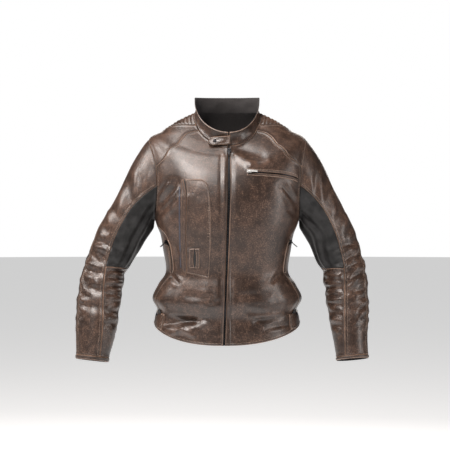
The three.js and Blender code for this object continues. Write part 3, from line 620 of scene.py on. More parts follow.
def sleeve_panels(net, name, armhole, coarse):
    side, flip = SIDE[name], SIDE[name] > 0
    start_at = int(np.argmin(np.abs(coarse - 3)))
    ring0 = np.concatenate([armhole[start_at:], armhole[:start_at]])
    k = np.concatenate([coarse[start_at:] - 3, coarse[:start_at] + 22])
    ring0, k = np.concatenate([ring0, ring0[:1]]), np.append(k, 25.0)
    cuff_place = ARM_END - CUFF_HEIGHT / 60

    def turn_of(k, f):
        a, b, c = front_seam_turn(f), outer_seam_turn(f), insert_back_turn(f)
        rear = mix(b, c, (k - TOP) / REAR)
        under = mix(c, a - 360, (k - TOP - REAR) / INSERT)
        return np.where(k <= TOP, mix(a, b, k / TOP), np.where(k <= TOP + REAR, rear, under))

    def climb(k, row):
        u = np.where(k > TOP + REAR, (25 - k) / INSERT, smooth(np.clip((k - TOP) / REAR, 0, 1)))
        return -0.95 * u * np.exp(-(((row - INSERT_END) / 2.6) ** 2))

    cap_part = np.linspace(0, CAP_ROWS, CAP_ROWS * CAP_FINE + 1)
    tube_part = np.linspace(0, TUBE_ROWS, TUBE_ROWS * TUBE_FINE + 1)
    rows = np.concatenate([cap_part, CAP_ROWS + tube_part[1:]])
    R, K = np.meshgrid(rows, k, indexing="ij")
    cap = R < CAP_ROWS
    w_tube = mix(SLEEVE_JOIN, cuff_place, (R - CAP_ROWS) / TUBE_ROWS) + climb(K, R)
    w = np.where(cap, SLEEVE_JOIN * R / CAP_ROWS, w_tube)
    turn = np.where(cap, turn_of(K, SLEEVE_JOIN / ARM_END), turn_of(K, w / ARM_END))
    lower = tube(name, np.where(cap, SLEEVE_JOIN, w_tube), turn)
    v = np.where(cap, R / CAP_ROWS, 1)[..., None]
    end_place = SLEEVE_JOIN * np.ones_like(K) + climb(K, CAP_ROWS * np.ones_like(K))
    end = tube(name, end_place, turn_of(K, SLEEVE_JOIN / ARM_END))
    start = np.broadcast_to(ring0[None], end.shape)
    reach = np.linalg.norm(end - start, axis=-1, keepdims=True)
    run = arm_direction(name, np.array(float(SLEEVE_JOIN)))
    lean = turn_of(K, SLEEVE_JOIN * v[..., 0] / ARM_END)
    s = smooth((1 - np.cos(lean * DEG)) / 2)
    leave = unit(mix(0.32, 1.25, s)[..., None] * np.array([side, 0, 0]) + mix(1, 0.12, s)[..., None] * run)
    v2, v3 = v * v, v * v * v
    upper = start * (2 * v3 - 3 * v2 + 1) + leave * reach * (v3 - 2 * v2 + v)
    upper = upper + end * (3 * v2 - 2 * v3) + run * reach * (v3 - v2)
    grid = np.where(cap[..., None], upper, lower)
    grid[0] = ring0
    z = along(ARMS[name][:, 2], w)
    relief = sleeve_relief(name, turn, z, grid * (side, 1, 1) + (0 if side < 0 else 170))

    around = (K - TOP - REAR) / INSERT
    stretch = np.cos(around * math.pi * 8 + 3.2 * noise(grid, 70, 12))
    stretch = stretch * 2.4 * np.sin(math.pi * np.clip(around, 0, 1)) + noise(grid, 40, 13) * 2.2

    def cols(a, b):
        return int(np.argmin(np.abs(k - a))), int(np.argmin(np.abs(k - b)))

    def cut(panel, k0, k1, r0, r1, height):
        i0, i1 = cols(k0, k1)
        j0, j1 = int(np.argmin(np.abs(rows - r0))), int(np.argmin(np.abs(rows - r1)))
        net.add(panel, grid[j0 : j1 + 1, i0 : i1 + 1], flip, height[j0 : j1 + 1, i0 : i1 + 1])

    bottom = CAP_ROWS + TUBE_ROWS
    cut("sleeve_top_" + name, 0, TOP, 0, bottom, relief)
    cut("sleeve_rear_" + name, TOP, TOP + REAR, 0, bottom, relief)
    cut("sleeve_rear_" + name, TOP + REAR, 25, INSERT_END, bottom, relief)
    cut("insert_" + name, TOP + REAR, 25, 0, INSERT_END, stretch)
    w_cuff = mix(cuff_place, ARM_END, steps(6))[:, None] * np.ones_like(k)
    kk = np.broadcast_to(k, w_cuff.shape)
    cuff = tube(name, w_cuff, turn_of(kk, w_cuff / ARM_END), 1.0)
    cuff[0] = grid[-1]
    net.add("cuff_" + name, cuff, flip, 0.5 * noise(cuff, 14, 14) + 0.4)


def collar_panel(net, necks):
    ring_points = np.concatenate([necks["right"], necks["left"][::-1][1:]])
    f = steps(15)[:, None, None]
    pull = 1 - 0.05 * np.sin(f * math.pi)
    p = ring_points[None] * np.concatenate([pull, pull, np.ones_like(pull)], -1)
    rise = COLLAR_HEIGHT * f[..., 0] * mix(1, 0.86, np.clip(-ring_points[:, 1] / 78, 0, 1))
    p = p + np.stack([np.zeros_like(rise), -4 * f[..., 0] * np.ones_like(rise), rise], -1)
    net.add("collar", p, True, noise(p * (1, 1, 1.4), 26, 15) * 1.6 + noise(p, 11, 16) * 0.4)


@lru_cache(None)
def sewn():
    """The whole jacket's net, cut and sewn once."""
    net = Net()
    parts = {name: body_panels(net, name) for name in SIDE}
    for name, (armhole, coarse, _) in parts.items():
        sleeve_panels(net, name, armhole, coarse)
    collar_panel(net, {name: part[2] for name, part in parts.items()})
    net.weld()
    net.smooth, _ = net.normals()
    return net


# ---------------------------------------------------------------- meshes


def piece(name, points, faces, finishes, body, nodes=(), numbers=None, slots=None, flat=False):
    """Makes an object from points in millimetres, in the frame's own place, riding on a body."""
    mesh = bpy.data.meshes.new(name)
    points = np.asarray(points, float) * MM
    faces = [np.asarray(f) for f in (faces if isinstance(faces, list) else [faces])]
    sizes = np.concatenate([np.full(len(f), f.shape[1]) for f in faces])
    loops = np.concatenate([f.reshape(-1) for f in faces])
    mesh.vertices.add(len(points))
    mesh.vertices.foreach_set("co", points.reshape(-1))
    mesh.loops.add(len(loops))
    mesh.loops.foreach_set("vertex_index", loops.astype(np.int32))
    mesh.polygons.add(len(sizes))
    mesh.polygons.foreach_set("loop_start", np.concatenate([[0], np.cumsum(sizes)[:-1]]).astype(np.int32))
    if slots is not None:
        mesh.polygons.foreach_set("material_index", np.asarray(slots, np.int32))
    for key, values in (numbers or {}).items():
        layer = mesh.attributes.new(key, "FLOAT", "POINT")
        layer.data.foreach_set("value", np.asarray(values, np.float32))
    mesh.update(calc_edges=True)
    mesh.validate()
    mesh.polygons.foreach_set("use_smooth", np.full(len(mesh.polygons), not flat))
    obj = bpy.data.objects.new(name, mesh)
    bpy.context.scene.collection.objects.link(obj)
    for finish in finishes if isinstance(finishes, (list, tuple)) else [finishes]:
        mesh.materials.append(finish)
    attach(obj, body)
    if nodes:
        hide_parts(*([nodes] if isinstance(nodes, str) else nodes))
    return obj


def panel_piece(net, panel, finishes, wall=WALL):
    """A panel of the net as a closed wall of leather with rounded edges."""
    quads = net.quads[net.owner == net.names.index(panel)]
    used, local = np.unique(quads.reshape(-1), return_inverse=True)
    quads = local.reshape(-1, 4)
    where = np.full(len(net.points), -1)
    where[used] = np.arange(len(used))
    rim = where[net.edges[panel]]
    p, shared = net.points[used].copy(), net.smooth[used]
    a, b, c, d = (p[quads[:, k]] for k in range(4))
    own = np.zeros_like(p)
    for k in range(4):
        np.add.at(own, quads[:, k], np.cross(c - a, d - b))
    own = unit(own)
    edge = unit(p[rim[:, 1]] - p[rim[:, 0]])
    inwards = np.zeros_like(p)
    for k in (0, 1):
        np.add.at(inwards, rim[:, k], unit(np.cross(shared[rim[:, k]], edge)))
    on_rim = np.linalg.norm(inwards, axis=1) > 0
    p[on_rim] += unit(inwards[on_rim]) * SEAM_GAP
    lean = np.maximum(0.62, (shared * own).sum(1))[:, None]
    seam = net.seam[used]
    roll = 0.5 * np.exp(-((seam / 1.3) ** 2)) - 0.7 * np.exp(-(((seam - 3.5) / 2.6) ** 2))
    outer = p + shared * (wall / 2 - roll[:, None] * np.where(on_rim[:, None], lean, 1)) / lean
    inner = p - shared * (wall / 2) / lean
    n = len(used)
    sides = np.stack([rim[:, 0], rim[:, 0] + n, rim[:, 1] + n, rim[:, 1]], -1)
    faces = np.concatenate([quads, quads[:, ::-1] + n, sides])
    slots = np.concatenate([np.zeros(len(quads)), np.ones(len(quads) + len(sides))])
    numbers = {"seam_mm": np.concatenate([seam, seam + 50]), "fold_mm": np.tile(net.relief[used], 2)}
    points = np.concatenate([outer, inner])
    obj = piece(panel + "_cut", points, faces, finishes, BODY, panel, numbers=numbers, slots=slots)
    area = 0.5 * np.linalg.norm(np.cross(c - a, d - b), axis=1).sum() * 1e-6
    return obj, area


def slab(spots, thick, lift=0.0, extra=0.0, edge=0.3):
    """A closed strip over a grid of (points, normals), with rounded edges; extra adds height inside."""
    points, up = spots
    m, n = points.shape[:2]
    j, i = np.meshgrid(np.arange(m), np.arange(n), indexing="ij")
    border = (j == 0) | (j == m - 1) | (i == 0) | (i == n - 1)
    rim = points[border]
    tree = KDTree(len(rim))
    for k, r in enumerate(rim):
        tree.insert(r, k)
    tree.balance()
    seam = np.array([tree.find(p)[2] for p in points.reshape(-1, 3)]).reshape(m, n)
    rounded = smooth(np.clip(seam / 1.1, 0, 1))
    height = lift + thick * mix(edge, 1, rounded) + extra * rounded
    ids = np.arange(m * n).reshape(m, n)
    q = np.stack([ids[:-1, :-1], ids[:-1, 1:], ids[1:, 1:], ids[1:, :-1]], -1).reshape(-1, 4)
    loop = np.concatenate([ids[0, :-1], ids[:-1, -1], ids[-1, :0:-1], ids[:0:-1, 0]])
    ahead = np.roll(loop, -1)
    s = m * n
    faces = np.concatenate([q, q[:, ::-1] + s, np.stack([loop, loop + s, ahead + s, ahead], -1)])
    both = np.concatenate([(points + up * h).reshape(-1, 3) for h in (height[..., None], lift)])
    a, b, c, d = (both[faces[:, k]] for k in range(4))
    if (a * (np.cross(b, c) + np.cross(c, d))).sum() < 0:
        faces = faces[:, ::-1]
    return both, faces, np.tile(seam.reshape(-1), 2)


def strap(name, slabs, finish, nodes=()):
    """One piece from one or more slabs."""
    points, faces, seams, at = [], [], [], 0
    for p, f, seam in slabs:
        points.append(p)
        faces.append(f + at)
        seams.append(seam)
        at += len(p)
    numbers = {"seam_mm": np.concatenate(seams), "fold_mm": np.zeros(at)}
    return piece(name, np.concatenate(points), np.concatenate(faces), finish, BODY, nodes, numbers=numbers)


@lru_cache(None)
def surface():
    net = sewn()
    keep = [i for i, name in enumerate(net.names) if name.startswith(("front", "back", "yoke", "rib"))]
    quads = net.quads[np.isin(net.owner, keep)]
    return quads, BVHTree.FromPolygons(net.points.tolist(), quads.tolist())


def drape(starts, ways):
    """Points and outward normals where rays meet the body panels."""
    net = sewn()
    quads, tree = surface()
    starts = np.asarray(starts, float)
    ways = np.broadcast_to(ways, starts.shape).reshape(-1, 3)
    at, up = np.zeros((2, starts.size // 3, 3))
    for k, (a, d) in enumerate(zip(starts.reshape(-1, 3), ways)):
        hit, _, face, _ = tree.ray_cast(a, d)
        if hit is None:
            hit, _, face, _ = tree.find_nearest(a)
        q = quads[face]
        at[k] = hit
        up[k] = (net.smooth[q] / (((net.points[q] - at[k]) ** 2).sum(1) + 0.01)[:, None]).sum(0)
    return at.reshape(starts.shape), unit(up).reshape(starts.shape)


def on_fronts(xz):
    """The fronts at places [x, z], met from the front."""
    xz = np.asarray(xz, float)
    starts = np.stack([xz[..., 0], np.full(xz.shape[:-1], -400.0), xz[..., 1]], -1)
    return drape(starts, (0, 1, 0))


def on_side(name, turn, level):
    """The body at a turn and level, met from outside."""
    turn, level = np.broadcast_arrays(np.asarray(turn, float), np.asarray(level, float))
    out = outwards(SIDE[name], turn, level)
    return drape(bare(SIDE[name], turn, level) + out * 50, -out)


def spread(nodes, n):
    nodes = np.asarray(nodes, float)
    return along(nodes, steps(n) * (len(nodes) - 1))


def edged(grid, margin=1.0):
    """A finer copy of a grid's border, so that its edge can be rounded."""
    for _ in range(2):
        for end in (0, -1):
            row, inner = grid[end], grid[1 if end == 0 else -2]
            gap = np.linalg.norm(inner - row, axis=-1, keepdims=True).mean()
            extra = mix(row, inner, min(0.5, margin / max(gap, 1e-6)))[None]
            grid = np.concatenate([grid[:1], extra, grid[1:]] if end == 0 else [grid[:-1], extra, grid[-1:]])
        grid = np.swapaxes(grid, 0, 1)
    return grid


# ---------------------------------------------------------------- finishes


class Value:
    """A number or colour on its way through a finish; arithmetic on it adds Math nodes."""

    def __init__(self, finish, socket):
        self.finish, self.socket = finish, socket

    def _math(self, operation, *values):
        return self.finish.node("ShaderNodeMath", {"operation": operation}, dict(enumerate(values)))

    def __add__(self, other):
        return self._math("ADD", self, other)

    __radd__ = __add__

    def __sub__(self, other):
        return self._math("SUBTRACT", self, other)

    def __rsub__(self, other):
        return self._math("SUBTRACT", other, self)

    def __mul__(self, other):
        return self._math("MULTIPLY", self, other)

    __rmul__ = __mul__

    def rise(self, low, high):
        """0 below low, 1 above high, smooth between."""
        inputs = {"Value": self, "From Min": low, "From Max": high}
        return self.finish.node("ShaderNodeMapRange", {"interpolation_type": "SMOOTHSTEP"}, inputs)


class Finish:
    """A material made of one Principled shader."""

    def __init__(self, name, colour, roughness, metallic=0.0, **constants):
        self.material = bpy.data.materials.new(name)
        self.material.use_nodes = True
        self.material.diffuse_color = (*colour[:3], 1)
        self.tree = self.material.node_tree
        self.shader = self.tree.nodes["Principled BSDF"]
        self.set("Base Color", (*colour[:3], 1))
        self.set("Roughness", roughness)
        self.set("Metallic", metallic)
        for key, value in constants.items():
            self.set(key.replace("_", " "), value)

    def set(self, socket, value):
        if isinstance(value, Value):
            self.tree.links.new(value.socket, self.shader.inputs[socket])
        else:
            self.shader.inputs[socket].default_value = value

    def node(self, kind, settings=None, inputs=None, output=0):
        node = self.tree.nodes.new(kind)
        for key, value in (settings or {}).items():
            setattr(node, key, value)
        for key, value in (inputs or {}).items():
            if isinstance(value, Value):
                self.tree.links.new(value.socket, node.inputs[key])
            else:
                node.inputs[key].default_value = value
        return Value(self, node.outputs[output])

    def place(self):
        """Coordinates in the jacket's frame."""
        return self.node("ShaderNodeTexCoord", output="Object")

    def noise(self, at, scale, detail, rough):
        inputs = {"Vector": at, "Scale": scale, "Detail": detail, "Roughness": rough}
        return self.node("ShaderNodeTexNoise", {}, inputs)

    def number(self, name):
        return self.node("ShaderNodeAttribute", {"attribute_name": name}, output="Fac")

    def blend(self, mask, a, b):
        """Colour a where the mask is 0 and b where it is 1."""
        return self.node("ShaderNodeMix", {"data_type": "RGBA"}, {0: mask, 6: a, 7: b}, output=2)

    def bump(self, height, distance, strength=1.0, under=None):
        inputs = {"Height": height, "Distance": distance, "Strength": strength}
        if under is not None:
            inputs["Normal"] = under
        return self.node("ShaderNodeBump", {}, inputs)


def rgb(colour, k=1.0):
    return (colour[0] * k, colour[1] * k, colour[2] * k, 1)


@lru_cache(None)
def leather(kind="brown"):
    """Distressed leather: a dark dye rubbed through to tan on edges and in fine flecks, lighter on fold
    ridges from wear and a painted highlight, and darkened by painted shade beside the seams.
    """
    looks = bpy.context.scene.jacket_finishes
    base, rubbed, tan = looks.leather, looks.rubbed, looks.tan
    if kind == "worn":
        base = tuple(mix(a, b, 0.1) for a, b in zip(base, rubbed))
    f = Finish("leather_" + kind, base, 0.3, IOR=1.5, Specular_IOR_Level=0.46)
    at = f.place()
    seam, fold = f.number("seam_mm"), f.number("fold_mm")
    clouds = f.noise(at, 11, 5, 0.6)
    patches = f.noise(at, 48, 4, 0.65)
    flecks = f.noise(at, 300, 4, 0.7)
    grain = f.node("ShaderNodeTexVoronoi", {"feature": "DISTANCE_TO_EDGE"}, {"Vector": at, "Scale": 560})
    pores = f.noise(at, 900, 2, 0.6)
    mottled = f.blend((clouds * 0.6 + patches * 0.4).rise(0.34, 0.66), rgb(base, 0.75), rgb(base, 1.3))
    wear = (clouds * 0.25 + patches * 0.3 + flecks * 0.45).rise(0.44, 0.64)
    streaks = f.blend(wear * 0.75, mottled, rgb(rubbed))
    specks = f.blend((flecks * 0.6 + pores * 0.4).rise(0.49, 0.66) * (0.1 + wear * 0.42), streaks, rgb(tan))
    groove = seam.rise(0.8, 2.2) * (1 - seam.rise(2.6, 6))
    # Painted shade: the colour is darkened in a band a few millimetres from every seam, where the seam's
    # groove would lie in shadow.
    groove_shade = f.blend(groove * 0.45, specks, rgb(base, 0.4))
    edge = (1 - seam.rise(0.6, 2.6)) * (0.45 + (clouds + patches * 0.6).rise(0.6, 0.95) * 0.55)
    rubbed_edge = f.blend(edge * 0.85, groove_shade, rgb(tan, 1.1))
    # Fold ridges are lightened towards the rubbed colour: partly wear on the raised leather, partly a painted
    # highlight on the ridges.
    ridge = fold.rise(0.8, 3.2) * patches.rise(0.35, 0.7)
    f.set("Base Color", f.blend(ridge * 0.45, rubbed_edge, rgb(rubbed, 1.3)))
    f.set("Roughness", looks.roughness + (clouds - 0.5) * 0.12 + (flecks - 0.5) * 0.14 + groove * 0.12)
    from_seam = seam - 2.2
    welt = from_seam.rise(-1.2, 0) * (1 - from_seam.rise(0, 3))
    stitched = (1 - seam.rise(0.2, 1.4)) * -1.4 + welt * 0.9
    surface = grain.rise(0.0, 0.22) * 0.28 + pores * 0.2 + patches * 0.5 + clouds * 0.5
    f.set("Normal", f.bump(stitched, 0.0006, 0.8, f.bump(surface, 0.0003, 0.5)))
    return f.material


def worn():
    return leather("worn")


@lru_cache(None)
def inside():
    """Flesh side and lining, dark and dull."""
    looks = bpy.context.scene.jacket_finishes
    f = Finish("lining", looks.lining, 0.9)
    at = f.place()
    nap = f.noise(at, 420, 3, 0.6)
    f.set("Base Color", f.blend(nap.rise(0.35, 0.65), rgb(looks.lining, 0.7), rgb(looks.lining, 1.25)))
    f.set("Normal", f.bump(nap, 0.0003, 0.6))
    return f.material


@lru_cache(None)
def stretch_cloth():
    looks = bpy.context.scene.jacket_finishes
    f = Finish("black_stretch", looks.stretch, 0.5, IOR=1.33, Sheen_Weight=0.04, Sheen_Roughness=0.5)
    at = f.place()
    knit = f.noise(at, 1400, 2, 0.5)
    soft = f.noise(at, 40, 3, 0.5)
    # Painted sheen and shade: soft blotches from 0.4 to 1.7 times the cloth's colour stand in for the light
    # and shade on the insert's folds.
    f.set("Base Color", f.blend(soft.rise(0.35, 0.65), rgb(looks.stretch, 0.4), rgb(looks.stretch, 1.7)))
    f.set("Normal", f.bump(knit, 0.00025, 0.7))
    return f.material


@lru_cache(None)
def tape():
    looks = bpy.context.scene.jacket_finishes
    f = Finish("zip_tape", looks.tape, 0.8)
    at = f.place()
    weave = f.noise(at, 1100, 2, 0.5)
    f.set("Base Color", f.blend(weave, rgb(looks.tape, 0.6), rgb(looks.tape, 1.6)))
    f.set("Normal", f.bump(weave, 0.0002, 0.8))
    return f.material


@lru_cache(None)
def dark_rail():
    looks = bpy.context.scene.jacket_finishes
    f = Finish("coated_tape", looks.rail, 0.35)
    haze = f.noise(f.place(), 120, 3, 0.5)
    f.set("Base Color", f.blend(haze, rgb(looks.rail, 0.7), rgb(looks.rail, 1.3)))
    return f.material


@lru_cache(None)
def metal(kind):
    looks = bpy.context.scene.jacket_finishes
    colour = {"silver": looks.silver, "black": looks.black_metal}[kind]
    f = Finish("metal_" + kind, colour, 0.32, 1.0)
    at = f.place()
    haze = f.noise(at, 300, 3, 0.6)
    f.set("Base Color", f.blend(haze.rise(0.35, 0.7), rgb(colour, 0.7), rgb(colour, 1.15)))
    f.set("Roughness", 0.24 + haze * 0.25)
    return f.material


@lru_cache(None)
def thread():
    looks = bpy.context.scene.jacket_finishes
    f = Finish("thread", looks.thread, 0.6)
    at = f.place()
    twist = f.noise(at, 900, 2, 0.5)
    f.set("Base Color", f.blend(twist.rise(0.3, 0.7), rgb(looks.thread, 0.7), rgb(looks.thread, 1.15)))
    return f.material


# ---------------------------------------------------------------- stitches


def inset(net, grid, edge, distance):
    """A line on the net's outer face, a set distance in from one side of a grid."""
    ids = grid["ids"]
    if edge in ("top", "bottom"):
        ids = ids.T
    if edge in ("right", "top"):
        ids = ids[:, ::-1]
    p, n = net.points[ids], net.smooth[ids]
    far = np.cumsum(np.linalg.norm(np.diff(p, axis=1), axis=-1), axis=1)
    far = np.concatenate([np.zeros((len(ids), 1)), far], 1)
    i = np.clip((far < distance).sum(1) - 1, 0, ids.shape[1] - 2)
    r = np.arange(len(ids))
    f = ((distance - far[r, i]) / np.maximum(far[r, i + 1] - far[r, i], 1e-9))[:, None]
    up = unit(mix(n[r, i], n[r, i + 1], f))
    return mix(p[r, i], p[r, i + 1], f) + up * SKIN, up


def dashes(points, normals, pitch, length, radius, lift=0.25):
    """Small rounded stitches along a line."""
    far = np.concatenate([[0], np.cumsum(np.linalg.norm(np.diff(points, axis=0), axis=1))])
    count = int(far[-1] // pitch)
    if count < 1:
        return np.zeros((0, 3)), np.zeros((0, 4), int)
    mid = (np.arange(count) + 0.5) * pitch + (far[-1] - count * pitch) / 2

    def read(values, at):
        return np.stack([np.interp(at, far, values[:, k]) for k in range(3)], -1)

    a, b = read(points, mid - length / 2), read(points, mid + length / 2)
    up = unit(read(normals, mid))
    run = unit(b - a)
    wide = np.cross(run, up)
    rings = [a - up * lift * 0.6]
    for place in (0.25, 0.75):
        centre = mix(a, b, place) + up * lift
        turns = [DEG * t for t in (0, 90, 180, 270)]
        rings += [centre + (wide * math.cos(t) + up * math.sin(t)) * radius for t in turns]
    rings.append(b - up * lift * 0.6)
    verts = np.stack(rings, 1).reshape(-1, 3)
    one = []
    for k in range(4):
        j = (k + 1) % 4
        one += [(0, 1 + k, 1 + j), (1 + k, 5 + k, 5 + j), (1 + k, 5 + j, 1 + j), (9, 5 + j, 5 + k)]
    faces = (np.array(one)[None] + 10 * np.arange(count)[:, None, None]).reshape(-1, 3)
    return verts, faces


def stitch_on(threads, spots, lift, pitch, radius=0.4):
    """Stitches along a line of (points, normals), lifted off it."""
    points, up = spots
    threads.add(*dashes(points + up * lift, up, pitch, pitch * 0.68, radius))


def blocks(places, up, run, size):
    """Small boxes at places, with size (across, along, out)."""
    wide = np.cross(run, up)
    corners = [(x, y, z) for x in (-0.5, 0.5) for y in (-0.5, 0.5) for z in (-0.5, 0.5)]
    verts = [places + wide * x * size[0] + run * y * size[1] + up * z * size[2] for x, y, z in corners]
    one = np.array([(0, 1, 3, 2), (4, 6, 7, 5), (0, 4, 5, 1), (2, 3, 7, 6), (0, 2, 6, 4), (1, 5, 7, 3)])
    faces = (one[None] + 8 * np.arange(len(places))[:, None, None]).reshape(-1, 4)
    return np.stack(verts, 1).reshape(-1, 3), faces


def teeth(points, up, pitch, wide, tall, lift):
    """The two rows of a zip's teeth along a line, meshed in the middle."""
    far = np.concatenate([[0], np.cumsum(np.linalg.norm(np.diff(points, axis=0), axis=1))])
    at = np.arange(pitch, far[-1] - pitch, pitch / 2)
    places, normals, ahead = (
        np.stack([np.interp(at + shift, far, values[:, k]) for k in range(3)], -1)
        for values, shift in ((points, 0), (up, 0), (points, 0.5))
    )
    normals = unit(normals)
    run = unit(ahead - places)
    side = np.where(np.arange(len(at)) % 2, 1, -1)[:, None]
    across = np.cross(run, normals)
    size = (wide * 0.56, pitch * 0.42, tall)
    return blocks(places + across * side * wide * 0.22 + normals * lift, normals, run, size)


class Basket:
    """Gathers small meshes into one piece."""

    def __init__(self):
        self.points, self.faces, self.at = [], [], 0

    def add(self, points, faces):
        if len(points):
            self.points.append(points)
            self.faces.append(faces + self.at)
            self.at += len(points)

    def piece(self, name, finish, body=BODY, nodes=(), flat=False):
        points, faces = np.concatenate(self.points), np.concatenate(self.faces)
        return piece(name, points, faces, finish, body, nodes, flat=flat)


def grids_of(net, panel):
    return [g for g in net.grids if g["panel"] == panel]


# ---------------------------------------------------------------- settings


def colour(name, text, default):
    limits = {"subtype": "COLOR", "size": 3, "min": 0, "max": 1}
    return FloatVectorProperty(name=name, description=text, default=default, **limits)


def amount(name, text, default, **more):
    return FloatProperty(name=name, description=text, default=default, **more)


class JacketFinishes(bpy.types.PropertyGroup):
    roughness: amount("Roughness", "Roughness of the leather", 0.34, min=0.05, max=1)
    leather: colour("Leather", "Main dye of the leather", (0.0185, 0.0104, 0.0074))
    # The rubbed colour, 1.3 times brighter, also gives the partly painted highlight on the fold ridges.
    rubbed: colour("Rubbed leather", "Leather where the dye is rubbed thin", (0.072, 0.0410, 0.0285))
    tan: colour("Tan flecks", "Bare hide in flecks and along worn edges", (0.2, 0.127, 0.091))
    lining: colour("Lining", "Inner face of the panels", (0.012, 0.01, 0.01))
    stretch: colour("Stretch cloth", "Inserts under the arms", (0.008, 0.0078, 0.008))
    tape: colour("Zip tape", "Woven tape of the zips", (0.0035, 0.0035, 0.004))
    rail: colour("Coated tape", "Waterproof tape of the long pocket's zip", (0.03, 0.032, 0.045))
    thread: colour("Thread", "Topstitching", (0.31, 0.23, 0.18))
    silver: colour("Silver metal", "Chest zip", (0.6, 0.6, 0.59))
    black_metal: colour("Black metal", "Main and hand zips, snaps", (0.035, 0.035, 0.038))


class JacketSizes(bpy.types.PropertyGroup):
    stitch: amount("Stitch", "Pitch of the topstitching", 0.0038, min=0.002, max=0.01, unit="LENGTH")
    tooth: amount("Tooth pitch", "Pitch of the zip teeth", 0.0026, min=0.001, max=0.01, unit="LENGTH")
    floor: amount("Floor", "Height of the floor under the neck", -1.5, unit="LENGTH")
    lens: amount("Lens", "Focal length of the camera", 91.4, subtype="DISTANCE_CAMERA")
    glow: amount("Glow", "Share of the white backdrop that lights the jacket", 0.07, min=0, max=1)


# ---------------------------------------------------------------- pieces


# Width and length of each flat cut, in metres. FULLEST and EMPTIEST are the most and least of that rectangle
# that a sewn piece should fill; the panels step works out a scale from them but does not apply it.
FULLEST, EMPTIEST = 0.97, 0.5
FLAT = {
    "front": (0.24, 0.56),
    "back": (0.56, 0.68),
    "yoke": (0.17, 0.15),
    "rib": (0.12, 0.15),
    "sleeve_top": (0.2, 0.66),
    "sleeve_rear": (0.4, 0.66),
    "insert": (0.24, 0.26),
    "cuff": (0.27, 0.0125),
    "collar": (0.52, 0.05),
}


class JACKET_OT_panels(bpy.types.Operator):
    """Cut and sew the fronts, back, shoulder pieces, sleeves, inserts, cuffs and collar"""

    bl_idname = "jacket.panels"
    bl_label = "Sew the panels"

    def execute(self, context):
        net = sewn()
        for panel in net.names:
            kind = panel.rsplit("_", 1)[0] if panel.endswith(("_right", "_left")) else panel
            outer = {"insert": stretch_cloth(), "yoke": worn(), "rib": worn()}.get(kind, leather())
            obj, area = panel_piece(net, panel, [outer, inside()])
            width, length = FLAT[kind]
            k = max(1.0, math.sqrt(area / (FULLEST * width * length)))
            k = min(k, math.sqrt(area / (EMPTIEST * width * length)))
        return {"FINISHED"}


class JACKET_OT_stitching(bpy.types.Operator):
    """Run the topstitching beside the seams"""

    bl_idname = "jacket.stitching"
    bl_label = "Topstitch"

    def execute(self, context):
        net = sewn()
        pitch = pitch_mm(context)
        threads = Basket()
        lines = []
        for name in SIDE:
            front = grids_of(net, "front_" + name)
            lines += [(front[2], "right", 3.2), (front[2], "right", 9.0)]
            yoke, rib = grids_of(net, "yoke_" + name)[0], grids_of(net, "rib_" + name)[0]
            lines += [(yoke, "right", 3.0), (yoke, "bottom", 3.0)]
            top = grids_of(net, "sleeve_top_" + name)[0]
            rear = grids_of(net, "sleeve_rear_" + name)
            lines += [(top, "left", 3.0), (top, "left", 7.5), (top, "right", 3.0), (top, "right", 7.5)]
            lines += [(top, "top", 3.5)]
            lines += [(front[0], "bottom", 6.0), (front[1], "bottom", 6.0)]
        for grid, edge, distance in lines:
            p, n = inset(net, grid, edge, distance)
            stitch_on(threads, (p, n), 0.1, pitch)
        threads.piece("topstitching", thread())
        return {"FINISHED"}


WELT = {"x": -86, "low": -424, "high": -371}


def pitch_mm(context):
    return context.scene.jacket_sizes.stitch / MM


def tooth_mm(context):
    return context.scene.jacket_sizes.tooth / MM


def patch(bottom, top, left, right, columns, rows):
    return coons(spread(bottom, columns), spread(top, columns), spread(left, rows), spread(right, rows))


